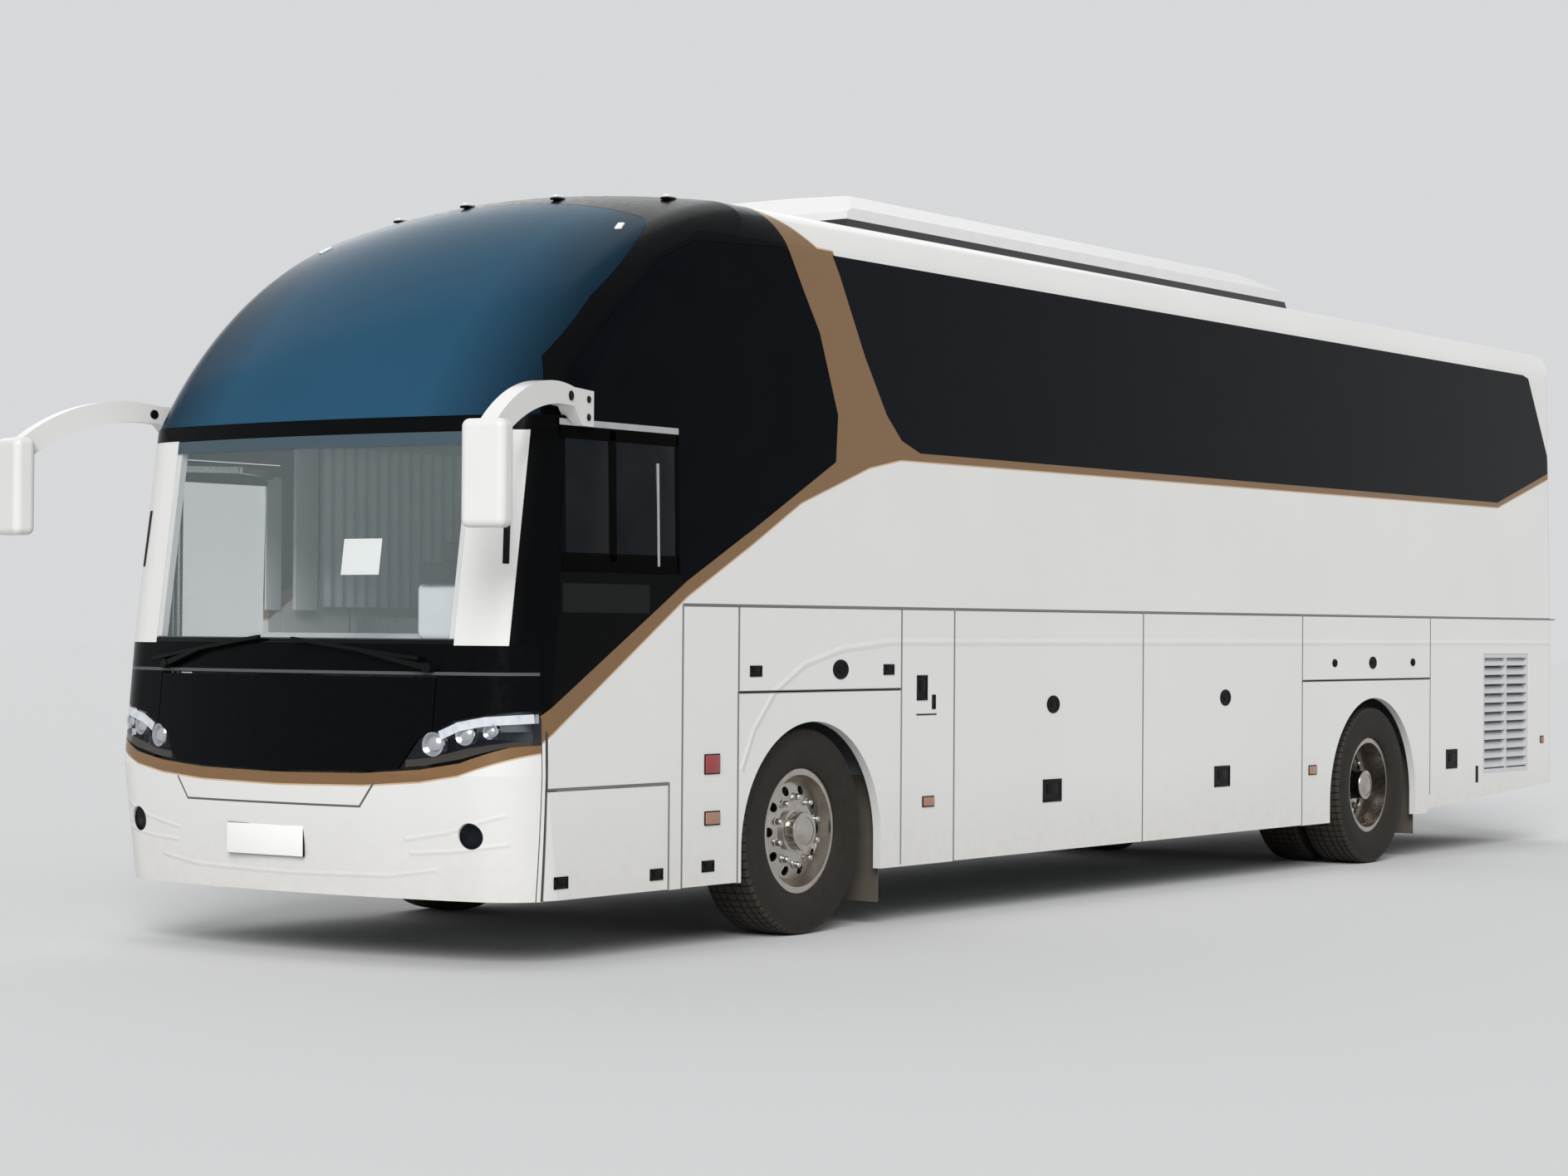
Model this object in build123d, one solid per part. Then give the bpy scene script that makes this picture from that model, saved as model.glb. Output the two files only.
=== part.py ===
from build123d import *
import math
import os

# Two-axle high-deck touring coach. X runs forward, Y to the left, Z up, all in millimetres.
# Heights are from the ground. Lengths are from the front axle until the pieces are written.

# Overall body
HALF_WIDTH = 1275
HALF_WIDTH_TOP = HALF_WIDTH - 35
BELT_Z = 1610
CANTRAIL_Z = 3300
ROOF_Z = 3625
TAIL_X = -9570
WHEELBASE = 6464
SKIRT_Z = 295
TAIL_SKIRT_X = -7240
TAIL_SKIRT_Z = 440
MIRROR_TIP_X = 2780
CENTRE_X = (MIRROR_TIP_X + TAIL_X) / 2

# Rounding of the body, seen from above and from the front
NOSE_PLAN_RADIUS = 5000
NOSE_CORNER_RADIUS = 320
TAIL_CORNER_RADIUS = 220
TAIL_ROOF_RADIUS = 250
ROOF_CROWN_RADIUS = 9000
ROOF_EDGE_RADIUS = 230
FORM_MARGIN = 3

# Reach of the cutting outlines past the skin, to the sides and over the roof
CLEAR_Y = HALF_WIDTH + 125
CLEAR_Z = ROOF_Z + 95

# Skin, glass and gaps
WALL = 45
GLASS = 8
GLASS_GAP = 0.3
GLASS_FLANGE = 30
SHUT_GAP = 6
JOIN_GAP = 0.3
SEAT_GAP = 0.3
DECK_CLEARANCE = 8

# Front centreline, bottom to top, as (height, distance ahead of the front axle)
NOSE_LOW = ((SKIRT_Z, 2335), (850, 2430), (1420, 2372), (2450, 2225))
AHEAD_X = NOSE_LOW[1][1] + 170
DOME = (110, 1296, 2409)
DOME_PLAN_RADIUS = 5650
DOME_CORNER_RADIUS = 285

# Front panels
BUMPER_BACK_X = 2085
FRONT_BACK_X = BUMPER_BACK_X - 185
BUMPER_TOP = ((0, 842), (HALF_WIDTH - 775, 850), (HALF_WIDTH - 475, 872), (HALF_WIDTH - 275, 905),
              (HALF_WIDTH - 125, 960), (CLEAR_Y, 1050))
FASCIA_TOP_Z = 1420
SCREEN_HALF = HALF_WIDTH - 348
PILLAR_OUTER_Y = HALF_WIDTH - 107
BAND_LOW_Z = 2372
BAND_SIDE_Z = 2376
BAND_HIGH_Z = 2444
FLAP_HALF = HALF_WIDTH - 425
FLAP_SHEET = 14
FLAP_GAP = SHUT_GAP + 3
FLAP_HINGE_Z = 1284
FLAP_HINGE_HALF = 150

FOG_RADIUS = 58
FOG_Y = HALF_WIDTH - 245
FOG_Z = 585

# Hinge beads: a lid's flat top edge turns round a half-round bead on the panel above it
BEAD = 5
BEAD_INSET = 2

# Side openings and panels, as (length, height) outlines on the side plane
ROOF_LOW_Z = 3380
CAP_LINE = ((1950, BAND_HIGH_Z), (1852, 2665), (1545, 2960), (1188, 3235), (933, 3345), (880, ROOF_LOW_Z))
CAP_WIDTH = 75
BAND_FRONT = ((205, ROOF_LOW_Z), (300, 3520), (330, CLEAR_Z))
FRONT_GLASS = ((1075, 2432), (1930, 2432), (1840, 2650), (1535, 2942), (1178, 3218), (928, 3322), (255, 3358),
               (185, 3335), (-70, 2965), (-222, 2568), (-200, 2335), (517, 1975), (1075, 1722))
DRIVER_WINDOW = ((1090, 2400), (1925, 2400), (1985, 1752), (1090, 1752))
SIDE_GLASS = ((-190, 3360), (-250, 3270), (-472, 2876), (-665, 2594), (-800, 2472), (-975, 2415), (-8470, 2430),
              (-9455, 2690), (-9060, 3340), (-8960, 3360))
SIDE_GLASS_PILLARS = (-1900, -3400, -4900, -6400, -7900)
PILLAR_WIDTH = 90
TAIL_SEAM_X = -9480

# Lids in the sides, as (rear, front, low edge, height of the hinge)
LUGGAGE_DOORS = ((-3317, -1293, 298, BELT_Z), (-5367, -3323, 298, BELT_Z))
FRONT_WHEEL_HATCH = (-782, 624, 1203, BELT_Z)
REAR_WHEEL_HATCH = (-7297, -5373, 1203, BELT_Z)
FRONT_LOCKER = (1173, 2047, 298, 783)
SERVICE_FLAP = (633, 1067, 298, BELT_Z)
ENTRY_DOOR = (1125, 1985, 298, 2310)
DOOR_GLASS = (1195, 1915, 1180, 2235)
GRILLE = (-9000, -8190, 530, 1365)
GRILLE_SLOTS = 12

# Rear panels
REAR_BUMPER_TOP_Z = 850
REAR_WINDOW = (HALF_WIDTH - 325, 2480, 3230)
ENGINE_LID = (HALF_WIDTH - 425, 880, 1850)
TAIL_LAMP = (HALF_WIDTH - 315, HALF_WIDTH - 145, 960, 1560)

# Wheel arches, as (centre length, centre height, radius)
FRONT_ARCH = (0, 450, 600)
REAR_ARCH = (-6420, 430, 650)

# Wheels and axles
TYRE_RADIUS = 510
TYRE_WIDTH = 290
BEAD_RADIUS = 290
RIM_HALF = 112
FLANGE_RADIUS = 306
FLANGE_THICK = 11
FRONT_TYRE_Y = HALF_WIDTH - 195
REAR_TYRE_YS = (HALF_WIDTH - 515, HALF_WIDTH - 175)
KINGPIN_Y = FRONT_TYRE_Y - 150
KINGPIN_RADIUS = 20
RUNNING_GAP = 0.3
SPINDLE_RADIUS = 45
TRACK_ARM = (-220, KINGPIN_Y)
HAND_HOLES = 10

# Floors
DECK_Z = 1545
DECK_THICK = 45
PLATFORM_Z = 1040
PLATFORM_FRONT_X = 2060
RISER_X = 575
BAY_FLOOR_Z = 385
SHEET = 30
CAB_RIGHT_Y = -250
STEPWELL = (1075, 2000, (75 - HALF_WIDTH, -850, -540, CAB_RIGHT_Y))
STEP_HEIGHTS = (385, 600, 820)
HOUSING_HALF = 660
HOUSING_TOP_Z = 1150

# Underframe
RAIL_Y = 420
RAIL_WIDTH = 80
RAIL_LOW_Z = 660
RAIL_HIGH_Z = 800

# Cab
DASH_RIGHT_Y = -760
LAMP_DEPTH = 60

# Seats
SEAT_PITCH = 760
SEAT_ROWS = 11
FIRST_ROW_X = -250
SEAT_INNER_Y = 290
SEAT_OUTER_Y = HALF_WIDTH - 85

PARTS = {}


def box(x0, x1, y0, y1, z0, z1):
    return Pos((x0 + x1) / 2, (y0 + y1) / 2, (z0 + z1) / 2) * Box(abs(x1 - x0), abs(y1 - y0), abs(z1 - z0))


def both_sides(shape):
    return [shape, shape.mirror(Plane.XZ)]


def prism(points, place, along):
    wire = Wire.make_polygon([place(a, b) for a, b in points], close=True)
    return Solid.extrude(Face(wire), Vector(*along))


def slab_xz(points, y0, y1):
    return prism(points, lambda x, z: Vector(x, y0, z), (0, y1 - y0, 0))


def slab_yz(points, x0, x1):
    return prism(points, lambda y, z: Vector(x0, y, z), (x1 - x0, 0, 0))


def slab_xy(points, z0, z1):
    return prism(points, lambda x, y: Vector(x, y, z0), (0, 0, z1 - z0))


def cylinder(radius, start, end):
    a, b = Vector(*start), Vector(*end)
    return Solid.make_cylinder(radius, (b - a).length, Plane(origin=a, z_dir=b - a))


def grow(points, distance):
    """The outline moved outward by a distance, its corners kept sharp."""
    count = len(points)
    area = sum(points[i][0] * points[(i + 1) % count][1] - points[(i + 1) % count][0] * points[i][1]
               for i in range(count))
    turn = 1 if area > 0 else -1
    moved = []
    for i in range(count):
        (ax, az), (bx, bz), (cx, cz) = points[i - 1], points[i], points[(i + 1) % count]
        d1, d2 = math.hypot(bx - ax, bz - az), math.hypot(cx - bx, cz - bz)
        n1 = (turn * (bz - az) / d1, -turn * (bx - ax) / d1)
        n2 = (turn * (cz - bz) / d2, -turn * (cx - bx) / d2)
        scale = distance / (1 + n1[0] * n2[0] + n1[1] * n2[1])
        moved.append((bx + (n1[0] + n2[0]) * scale, bz + (n1[1] + n2[1]) * scale))
    return tuple(moved)


def oblong(rear, front, low, high):
    return ((rear, low), (front, low), (front, high), (rear, high))


# Body form

def half_width(z):
    share = min(1, max(0, (z - BELT_Z) / (CANTRAIL_Z - BELT_Z)))
    return HALF_WIDTH + share * (HALF_WIDTH_TOP - HALF_WIDTH)


def rounded_end(apex, half, big, small):
    """Where a rounded end leaves the side, the middle of its corner, and where its flat arc starts."""
    corner_y = half - small
    centre = apex - big
    corner_x = centre + math.sqrt((big - small) ** 2 - corner_y ** 2)
    turn = math.atan2(corner_y, corner_x - centre)
    middle = (turn + math.pi / 2) / 2
    return ((corner_x, half),
            (corner_x + small * math.cos(middle), corner_y + small * math.sin(middle)),
            (centre + big * math.cos(turn), big * math.sin(turn)))


def end_outline(back, apex, half, big, small, place):
    side, middle, face = rounded_end(apex, half, big, small)

    def left(point):
        return place(point[0], point[1])

    def right(point):
        return place(point[0], -point[1])

    return Wire([
        Edge.make_line(place(back, -half), right(side)),
        Edge.make_three_point_arc(right(side), right(middle), right(face)),
        Edge.make_three_point_arc(right(face), place(apex, 0), left(face)),
        Edge.make_three_point_arc(left(face), left(middle), left(side)),
        Edge.make_line(left(side), place(back, half)),
        Edge.make_line(place(back, half), place(back, -half))])


def nose_x(z):
    """How far forward the nose's centreline reaches at a height below the crossbar."""
    for (z0, x0), (z1, x1) in zip(NOSE_LOW, NOSE_LOW[1:]):
        if z <= z1:
            return x0 + (z - z0) / (z1 - z0) * (x1 - x0)


def set_in(stations, depth):
    """Profile stations moved in by a depth, square to the profile."""
    moved = []
    for i, (z, x) in enumerate(stations):
        z0, x0 = stations[max(0, i - 1)]
        z1, x1 = stations[min(len(stations) - 1, i + 1)]
        run = math.hypot(z1 - z0, x1 - x0)
        moved.append((z + depth * (x1 - x0) / run, x - depth * (z1 - z0) / run))
    return moved


def nose(depth):
    """Nose below the dome: the plan outline carried straight from each profile station to the next."""
    stations = set_in(NOSE_LOW, depth)
    z, x = stations[0]
    stations[0] = (SKIRT_Z - 100, x)
    z, x = stations[-1]
    below_z, below_x = stations[-2]
    top = ROOF_Z + 175
    reach = (top - below_z) / (z - below_z)
    stations[-1] = (top, below_x + reach * (x - below_x))
    solid = None
    for (z0, x0), (z1, x1) in zip(stations, stations[1:]):
        wire = end_outline(TAIL_X - 600, x0, HALF_WIDTH + FORM_MARGIN - depth, NOSE_PLAN_RADIUS - depth,
                           NOSE_CORNER_RADIUS - depth, lambda a, b, z=z0: Vector(a, b, z))
        part = Solid.extrude(Face(wire), Vector(x1 - x0, 0, z1 - z0))
        solid = part if solid is None else solid + part
    return solid


def dome(depth):
    """Front above the screen's crossbar: a plan outline turned about a level axis across the coach."""
    centre_x, centre_z, radius = DOME
    half = half_width(BAND_HIGH_Z) + FORM_MARGIN - depth
    outline = end_outline(200, radius - depth, half, DOME_PLAN_RADIUS - depth, DOME_CORNER_RADIUS - depth,
                          lambda a, b: Vector(centre_x + a, b, centre_z))
    turned = Solid.revolve(Face(outline), -90, Axis((centre_x, 0, centre_z), (0, 1, 0)))
    below = box(TAIL_X - 700, 3500, -HALF_WIDTH - 100, HALF_WIDTH + 100, SKIRT_Z - 150, BAND_HIGH_Z)
    behind = box(TAIL_X - 700, centre_x, -half, half, BAND_HIGH_Z - 50, centre_z + radius - depth)
    return turned + below + behind


def tail(depth):
    """Flat rear end with a rounded corner each side that leans in with the side above the belt."""
    radius = TAIL_CORNER_RADIUS - depth
    half = HALF_WIDTH + FORM_MARGIN - depth
    back = TAIL_X + depth
    corner = radius * (1 - math.sqrt(0.5))
    top = ROOF_Z + 75
    lean = (HALF_WIDTH_TOP - HALF_WIDTH) * (top - BELT_Z) / (CANTRAIL_Z - BELT_Z)
    sides = []
    for side in (1, -1):
        def at(x, y, z):
            return Vector(x, side * y, z)

        def outline(z):
            return Wire([
                Edge.make_line(at(3200, -2000, z), at(3200, half, z)),
                Edge.make_line(at(3200, half, z), at(back + radius, half, z)),
                Edge.make_three_point_arc(at(back + radius, half, z), at(back + corner, half - corner, z),
                                          at(back, half - radius, z)),
                Edge.make_line(at(back, half - radius, z), at(back, -2000, z)),
                Edge.make_line(at(back, -2000, z), at(3200, -2000, z))])

        low = Solid.extrude(Face(outline(SKIRT_Z - 140)), Vector(0, 0, BELT_Z - SKIRT_Z + 140))
        high = Solid.extrude(Face(outline(BELT_Z)), Vector(0, side * lean, top - BELT_Z))
        sides.append(low + high)
    return sides[0] & sides[1]


def section(depth):
    half = HALF_WIDTH_TOP - depth
    side, middle, face = rounded_end(ROOF_Z - depth, half, ROOF_CROWN_RADIUS - depth, ROOF_EDGE_RADIUS - depth)
    start = TAIL_X - 150
    low = HALF_WIDTH - depth

    def left(point):
        return Vector(start, point[1], point[0])

    def right(point):
        return Vector(start, -point[1], point[0])

    wire = Wire([
        Edge.make_line(Vector(start, -low, SKIRT_Z - 100), Vector(start, -low, BELT_Z)),
        Edge.make_line(Vector(start, -low, BELT_Z), right(side)),
        Edge.make_three_point_arc(right(side), right(middle), right(face)),
        Edge.make_three_point_arc(right(face), Vector(start, 0, ROOF_Z - depth), left(face)),
        Edge.make_three_point_arc(left(face), left(middle), left(side)),
        Edge.make_line(left(side), Vector(start, low, BELT_Z)),
        Edge.make_line(Vector(start, low, BELT_Z), Vector(start, low, SKIRT_Z - 100)),
        Edge.make_line(Vector(start, low, SKIRT_Z - 100), Vector(start, -low, SKIRT_Z - 100))])
    return Solid.extrude(Face(wire), Vector(NOSE_LOW[1][1] + 400 - start, 0, 0))


def roof_end(depth):
    """Side view of the body, which rounds the roof down into the tail."""
    radius = TAIL_ROOF_RADIUS - depth
    back, top = TAIL_X + depth, ROOF_Z - depth
    turn = radius * (1 - math.sqrt(0.5))
    front = NOSE_LOW[1][1] + 300
    y = -HALF_WIDTH - 100
    wire = Wire([
        Edge.make_line(Vector(back, y, SKIRT_Z - 120), Vector(back, y, top - radius)),
        Edge.make_three_point_arc(Vector(back, y, top - radius), Vector(back + turn, y, top - turn),
                                  Vector(back + radius, y, top)),
        Edge.make_line(Vector(back + radius, y, top), Vector(front, y, top + 20)),
        Edge.make_line(Vector(front, y, top + 20), Vector(front, y, SKIRT_Z - 120)),
        Edge.make_line(Vector(front, y, SKIRT_Z - 120), Vector(back, y, SKIRT_Z - 120))])
    return Solid.extrude(Face(wire), Vector(0, 2 * HALF_WIDTH + 200, 0))


def form(depth):
    """The whole body as one solid, set in by a depth from the outer skin."""
    return section(depth) & nose(depth) & dome(depth) & tail(depth) & roof_end(depth)


OUTER = form(0)
INNER = form(WALL)
SKIN = OUTER - INNER
GLAZING = OUTER - form(GLASS)
REBATE = OUTER - form(GLASS + GLASS_GAP)
BODY_BOTTOM = slab_xz(((3000, 150), (3000, SKIRT_Z), (TAIL_SKIRT_X, SKIRT_Z), (TAIL_SKIRT_X - 60, 330),
                       (TAIL_X - 100, TAIL_SKIRT_Z), (TAIL_X - 100, 150)), -CLEAR_Y, CLEAR_Y)


def side_slab(points, side):
    """An outline on the side plane, run through one wall. side is 1 on the left and -1 on the right."""
    return slab_xz(points, side * (HALF_WIDTH - 295), side * CLEAR_Y)


def glaze(panel, outline, slab, pillars=()):
    """Cut a glazed opening: a rebate for the pane's edge and the hole inside its flange."""
    hole = slab(grow(outline, -GLASS_FLANGE))
    for rear, front in pillars:
        hole -= box(rear, front, -CLEAR_Y, CLEAR_Y, BELT_Z, ROOF_Z)
    return panel - (REBATE & slab(grow(outline, 2))) - hole


# Sides

def cap_shifted(shift):
    return tuple((x + shift * 0.75, z + shift * 0.66) for x, z in CAP_LINE)


def bead_x(start, end, side, z):
    """Half-round moulding along a wall, on the axis that a lid below it turns about."""
    y = side * (HALF_WIDTH - BEAD_INSET)
    return cylinder(BEAD, (start, y, z), (end, y, z))


def lid_panel(lid, side):
    rear, front, low, hinge_z = lid
    return SKIN & side_slab(oblong(rear, front, low, hinge_z - BEAD - RUNNING_GAP), side)


def lid_opening(lid, side, low=None):
    rear, front, lid_low, hinge_z = lid
    low = lid_low - SHUT_GAP if low is None else low
    return side_slab(oblong(rear - SHUT_GAP, front + SHUT_GAP, low, hinge_z), side)


def side_wall(side):
    front = BUMPER_BACK_X - JOIN_GAP
    band = BAND_SIDE_Z - JOIN_GAP
    top = ROOF_LOW_Z - JOIN_GAP
    outline = (((front, SKIRT_Z - 50), (front, band), (CAP_LINE[0][0], band)) + CAP_LINE[:-1]
               + ((CAP_LINE[-1][0], top), (TAIL_SEAM_X, top), (TAIL_SEAM_X, SKIRT_Z - 50)))
    corner_low = FASCIA_TOP_Z + JOIN_GAP
    inner = side * (PILLAR_OUTER_Y + JOIN_GAP)
    corner = box(front - 1, AHEAD_X, inner, side * CLEAR_Y, corner_low, band)
    wall = (SKIN & (side_slab(outline, side) + corner)) - BODY_BOTTOM
    wall -= box(FRONT_BACK_X, AHEAD_X, 0, inner, corner_low - JOIN_GAP, band + JOIN_GAP)
    wall = glaze(wall, FRONT_GLASS, lambda p: side_slab(p, side))
    pillars = [(x - PILLAR_WIDTH / 2, x + PILLAR_WIDTH / 2) for x in SIDE_GLASS_PILLARS]
    wall = glaze(wall, SIDE_GLASS, lambda p: side_slab(p, side), pillars)
    for x, z, radius in (FRONT_ARCH, REAR_ARCH):
        wall -= cylinder(radius, (x, side * (HALF_WIDTH - 295), z), (x, side * CLEAR_Y, z))
        wall -= side_slab(oblong(x - radius, x + radius, 100, z), side)
    bays = (LUGGAGE_DOORS[1][0], LUGGAGE_DOORS[0][1], 0, BELT_Z)
    openings = [lid_opening(bays, side, 100), lid_opening(FRONT_WHEEL_HATCH, side),
                lid_opening(REAR_WHEEL_HATCH, side), side_slab(oblong(*GRILLE), side)]
    if side > 0:
        wall = glaze(wall, DRIVER_WINDOW, lambda p: side_slab(p, side))
        openings += [lid_opening(FRONT_LOCKER, side, 100), lid_opening(SERVICE_FLAP, side, 100)]
    else:
        rear, door_front, low, high = ENTRY_DOOR
        openings.append(side_slab(oblong(rear - SHUT_GAP, door_front + SHUT_GAP, 100, high + SHUT_GAP), side))
    for opening in openings:
        wall -= opening
    wall += bead_x(TAIL_SEAM_X, SERVICE_FLAP[1], side, BELT_Z)
    if side > 0:
        wall += bead_x(FRONT_LOCKER[0], FRONT_LOCKER[1] - 60, side, FRONT_LOCKER[3])
    return wall


def grille(side):
    """Louvred grille of two columns in a frame, seated in the engine bay's side opening."""
    rear, front, low, high = GRILLE
    y0, y1 = side * (HALF_WIDTH - 40), side * (HALF_WIDTH - 3)
    border = 30
    frame = box(rear + SEAT_GAP, front - SEAT_GAP, y0, y1, low + SEAT_GAP, high - SEAT_GAP)
    middle = (rear + front) / 2
    columns = ((rear + border, middle - border / 2), (middle + border / 2, front - border))
    pitch = (high - low - 2 * border) / GRILLE_SLOTS
    for start, end in columns:
        frame -= box(start, end, -CLEAR_Y, CLEAR_Y, low + border, high - border)
    for start, end in columns:
        for slot in range(GRILLE_SLOTS):
            z = low + border + (slot + 0.5) * pitch
            blade = slab_yz(((y0, z + 22), (y0, z + 28), (y1, z - 16), (y1, z - 22)), start - 5, end + 5)
            frame += blade
    return frame


for side, word in ((1, "left"), (-1, "right")):
    PARTS["side_" + word] = side_wall(side)
    for number, lid in enumerate(LUGGAGE_DOORS, 1):
        PARTS[f"luggage_door_{word}_{number}"] = lid_panel(lid, side)
    PARTS["front_wheel_hatch_" + word] = lid_panel(FRONT_WHEEL_HATCH, side)
    PARTS["rear_wheel_hatch_" + word] = lid_panel(REAR_WHEEL_HATCH, side)

PARTS["front_locker_lid"] = lid_panel(FRONT_LOCKER, 1)
PARTS["service_flap"] = lid_panel(SERVICE_FLAP, 1)
PARTS["side_grilles"] = [grille(1), grille(-1)]
PARTS["front_side_glass"] = [GLAZING & side_slab(FRONT_GLASS, 1), GLAZING & side_slab(DRIVER_WINDOW, 1),
                             GLAZING & side_slab(FRONT_GLASS, -1)]
PARTS["saloon_glass"] = [GLAZING & side_slab(SIDE_GLASS, 1), GLAZING & side_slab(SIDE_GLASS, -1)]

# Roof, and the dark cap that joins the screens, the side glass and the roof

roof_region = slab_xz(BAND_FRONT + ((TAIL_X - 100, CLEAR_Z), (TAIL_X - 100, ROOF_LOW_Z)), -CLEAR_Y, CLEAR_Y)
PARTS["roof"] = SKIN & roof_region

CAP_FRONT = cap_shifted(CAP_WIDTH)
UPPER_SCREEN = ((AHEAD_X, BAND_HIGH_Z), (CAP_FRONT[0][0] + 10, BAND_HIGH_Z)) + CAP_FRONT[1:4] + (
    (1010, 3440), (760, CLEAR_Z), (AHEAD_X, CLEAR_Z))


def cap():
    seam = tuple((x + JOIN_GAP, z) for x, z in reversed(BAND_FRONT))
    outline = (((CAP_LINE[0][0], BAND_LOW_Z - GLASS_FLANGE), (AHEAD_X, BAND_LOW_Z - GLASS_FLANGE),
                (AHEAD_X, CLEAR_Z)) + seam
               + tuple((x + JOIN_GAP, z) for x, z in reversed(CAP_LINE)))
    shell = SKIN & slab_xz(outline, -CLEAR_Y, CLEAR_Y)
    shell -= REBATE & slab_xz(grow(UPPER_SCREEN, 2), -CLEAR_Y, CLEAR_Y)
    shell -= slab_xz(grow(UPPER_SCREEN, -GLASS_FLANGE), -CLEAR_Y, CLEAR_Y)
    shell -= REBATE & box(FRONT_BACK_X, AHEAD_X, -SCREEN_HALF, SCREEN_HALF, 2000, BAND_LOW_Z + 2)
    for side in (1, -1):
        shell -= box(1500, AHEAD_X, side * SCREEN_HALF, side * CLEAR_Y, 2000, BAND_SIDE_Z)
    return shell


PARTS["front_cap"] = cap()
PARTS["windscreen_upper"] = GLAZING & slab_xz(UPPER_SCREEN, -CLEAR_Y, CLEAR_Y)
PARTS["windscreen_lower"] = GLAZING & box(FRONT_BACK_X, AHEAD_X, -SCREEN_HALF + 2, SCREEN_HALF - 2,
                                          FASCIA_TOP_Z + 4, BAND_LOW_Z)

# Front: pillar covers, fascia, service flap, bumper and lamps


def pillar_cover(side):
    reach = side * (SCREEN_HALF + JOIN_GAP)
    panel = SKIN & box(FRONT_BACK_X, AHEAD_X, side * (SCREEN_HALF - GLASS_FLANGE), side * PILLAR_OUTER_Y,
                       FASCIA_TOP_Z + JOIN_GAP, BAND_SIDE_Z - JOIN_GAP)
    panel -= REBATE & box(FRONT_BACK_X, AHEAD_X, 0, side * SCREEN_HALF, 1300, 2500)
    panel -= box(FRONT_BACK_X, AHEAD_X, 0, reach, 1300, FASCIA_TOP_Z + GLASS_FLANGE + JOIN_GAP)
    panel -= box(FRONT_BACK_X, AHEAD_X, 0, reach, BAND_LOW_Z - GLASS_FLANGE - JOIN_GAP, 2500)
    return panel


LAMP = ((HALF_WIDTH - 570, 880), (HALF_WIDTH - 485, 1005), (HALF_WIDTH - 315, 1090), (HALF_WIDTH - 95, 1128),
        (CLEAR_Y, 1150), (CLEAR_Y, 1000), (HALF_WIDTH - 95, 975), (HALF_WIDTH - 265, 925),
        (HALF_WIDTH - 445, 892))


def bumper_edge(lift):
    return tuple((y, z + lift) for y, z in BUMPER_TOP)


def mirrored_edge(points):
    return tuple((-y, z) for y, z in reversed(points[1:])) + points


def fascia():
    edge = mirrored_edge(bumper_edge(JOIN_GAP))
    outline = edge + ((CLEAR_Y, FASCIA_TOP_Z), (SCREEN_HALF, FASCIA_TOP_Z),
                      (SCREEN_HALF, FASCIA_TOP_Z + GLASS_FLANGE),
                      (-SCREEN_HALF, FASCIA_TOP_Z + GLASS_FLANGE), (-SCREEN_HALF, FASCIA_TOP_Z),
                      (-CLEAR_Y, FASCIA_TOP_Z))
    panel = SKIN & slab_yz(outline, BUMPER_BACK_X, AHEAD_X)
    panel -= REBATE & box(FRONT_BACK_X, AHEAD_X, -SCREEN_HALF, SCREEN_HALF, FASCIA_TOP_Z + 2, 1600)
    panel -= box(FRONT_BACK_X, AHEAD_X, -FLAP_HALF - SHUT_GAP, FLAP_HALF + SHUT_GAP,
                 BUMPER_TOP[0][1], FLAP_HINGE_Z)
    for lamp in both_sides(slab_yz(grow(LAMP, SEAT_GAP), FRONT_BACK_X, AHEAD_X)):
        panel -= lamp
    x = nose_x(FLAP_HINGE_Z) - BEAD_INSET
    return panel + cylinder(BEAD, (x, -FLAP_HINGE_HALF, FLAP_HINGE_Z), (x, FLAP_HINGE_HALF, FLAP_HINGE_Z))


def bumper():
    edge = mirrored_edge(BUMPER_TOP)
    outline = edge + ((CLEAR_Y, 150), (-CLEAR_Y, 150))
    panel = (SKIN & slab_yz(outline, BUMPER_BACK_X, AHEAD_X)) - BODY_BOTTOM
    for lamp in both_sides(slab_yz(grow(LAMP, SEAT_GAP), FRONT_BACK_X, AHEAD_X)):
        panel -= lamp
    for hole in both_sides(cylinder(FOG_RADIUS + SEAT_GAP, (2100, FOG_Y, FOG_Z), (AHEAD_X, FOG_Y, FOG_Z))):
        panel -= hole
    return panel


PARTS["pillar_covers"] = [pillar_cover(1), pillar_cover(-1)]
PARTS["front_fascia"] = fascia()


def flap():
    """Flap between the lamps, down to the bumper's curved top edge."""
    outline = mirrored_edge(bumper_edge(FLAP_GAP)) + ((CLEAR_Y, FLAP_HINGE_Z), (-CLEAR_Y, FLAP_HINGE_Z))
    panel = (OUTER - form(FLAP_SHEET)) & slab_yz(outline, FRONT_BACK_X, AHEAD_X)
    panel &= box(FRONT_BACK_X, AHEAD_X, -FLAP_HALF, FLAP_HALF, BUMPER_TOP[0][1],
                 FLAP_HINGE_Z - BEAD - RUNNING_GAP)
    for lamp in both_sides(slab_yz(grow(LAMP, FLAP_GAP), FRONT_BACK_X, AHEAD_X)):
        panel -= lamp
    return panel


PARTS["front_flap"] = flap()
PARTS["front_bumper"] = bumper()

lamp_shell = OUTER - form(WALL + LAMP_DEPTH)
head_lamp = (lamp_shell & slab_yz(LAMP, BUMPER_BACK_X, AHEAD_X))
fog_lamp = (form(14) & (OUTER - form(WALL + 20))
            & cylinder(FOG_RADIUS, (2100, FOG_Y, FOG_Z), (AHEAD_X, FOG_Y, FOG_Z)))
PARTS["head_lamps"] = both_sides(head_lamp) + both_sides(fog_lamp)

# Rear: panel, window, engine lid, bumper and lamps


def rear_cut(half, low, high):
    return box(TAIL_X - 100, TAIL_X + 400, -half, half, low, high)


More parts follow.
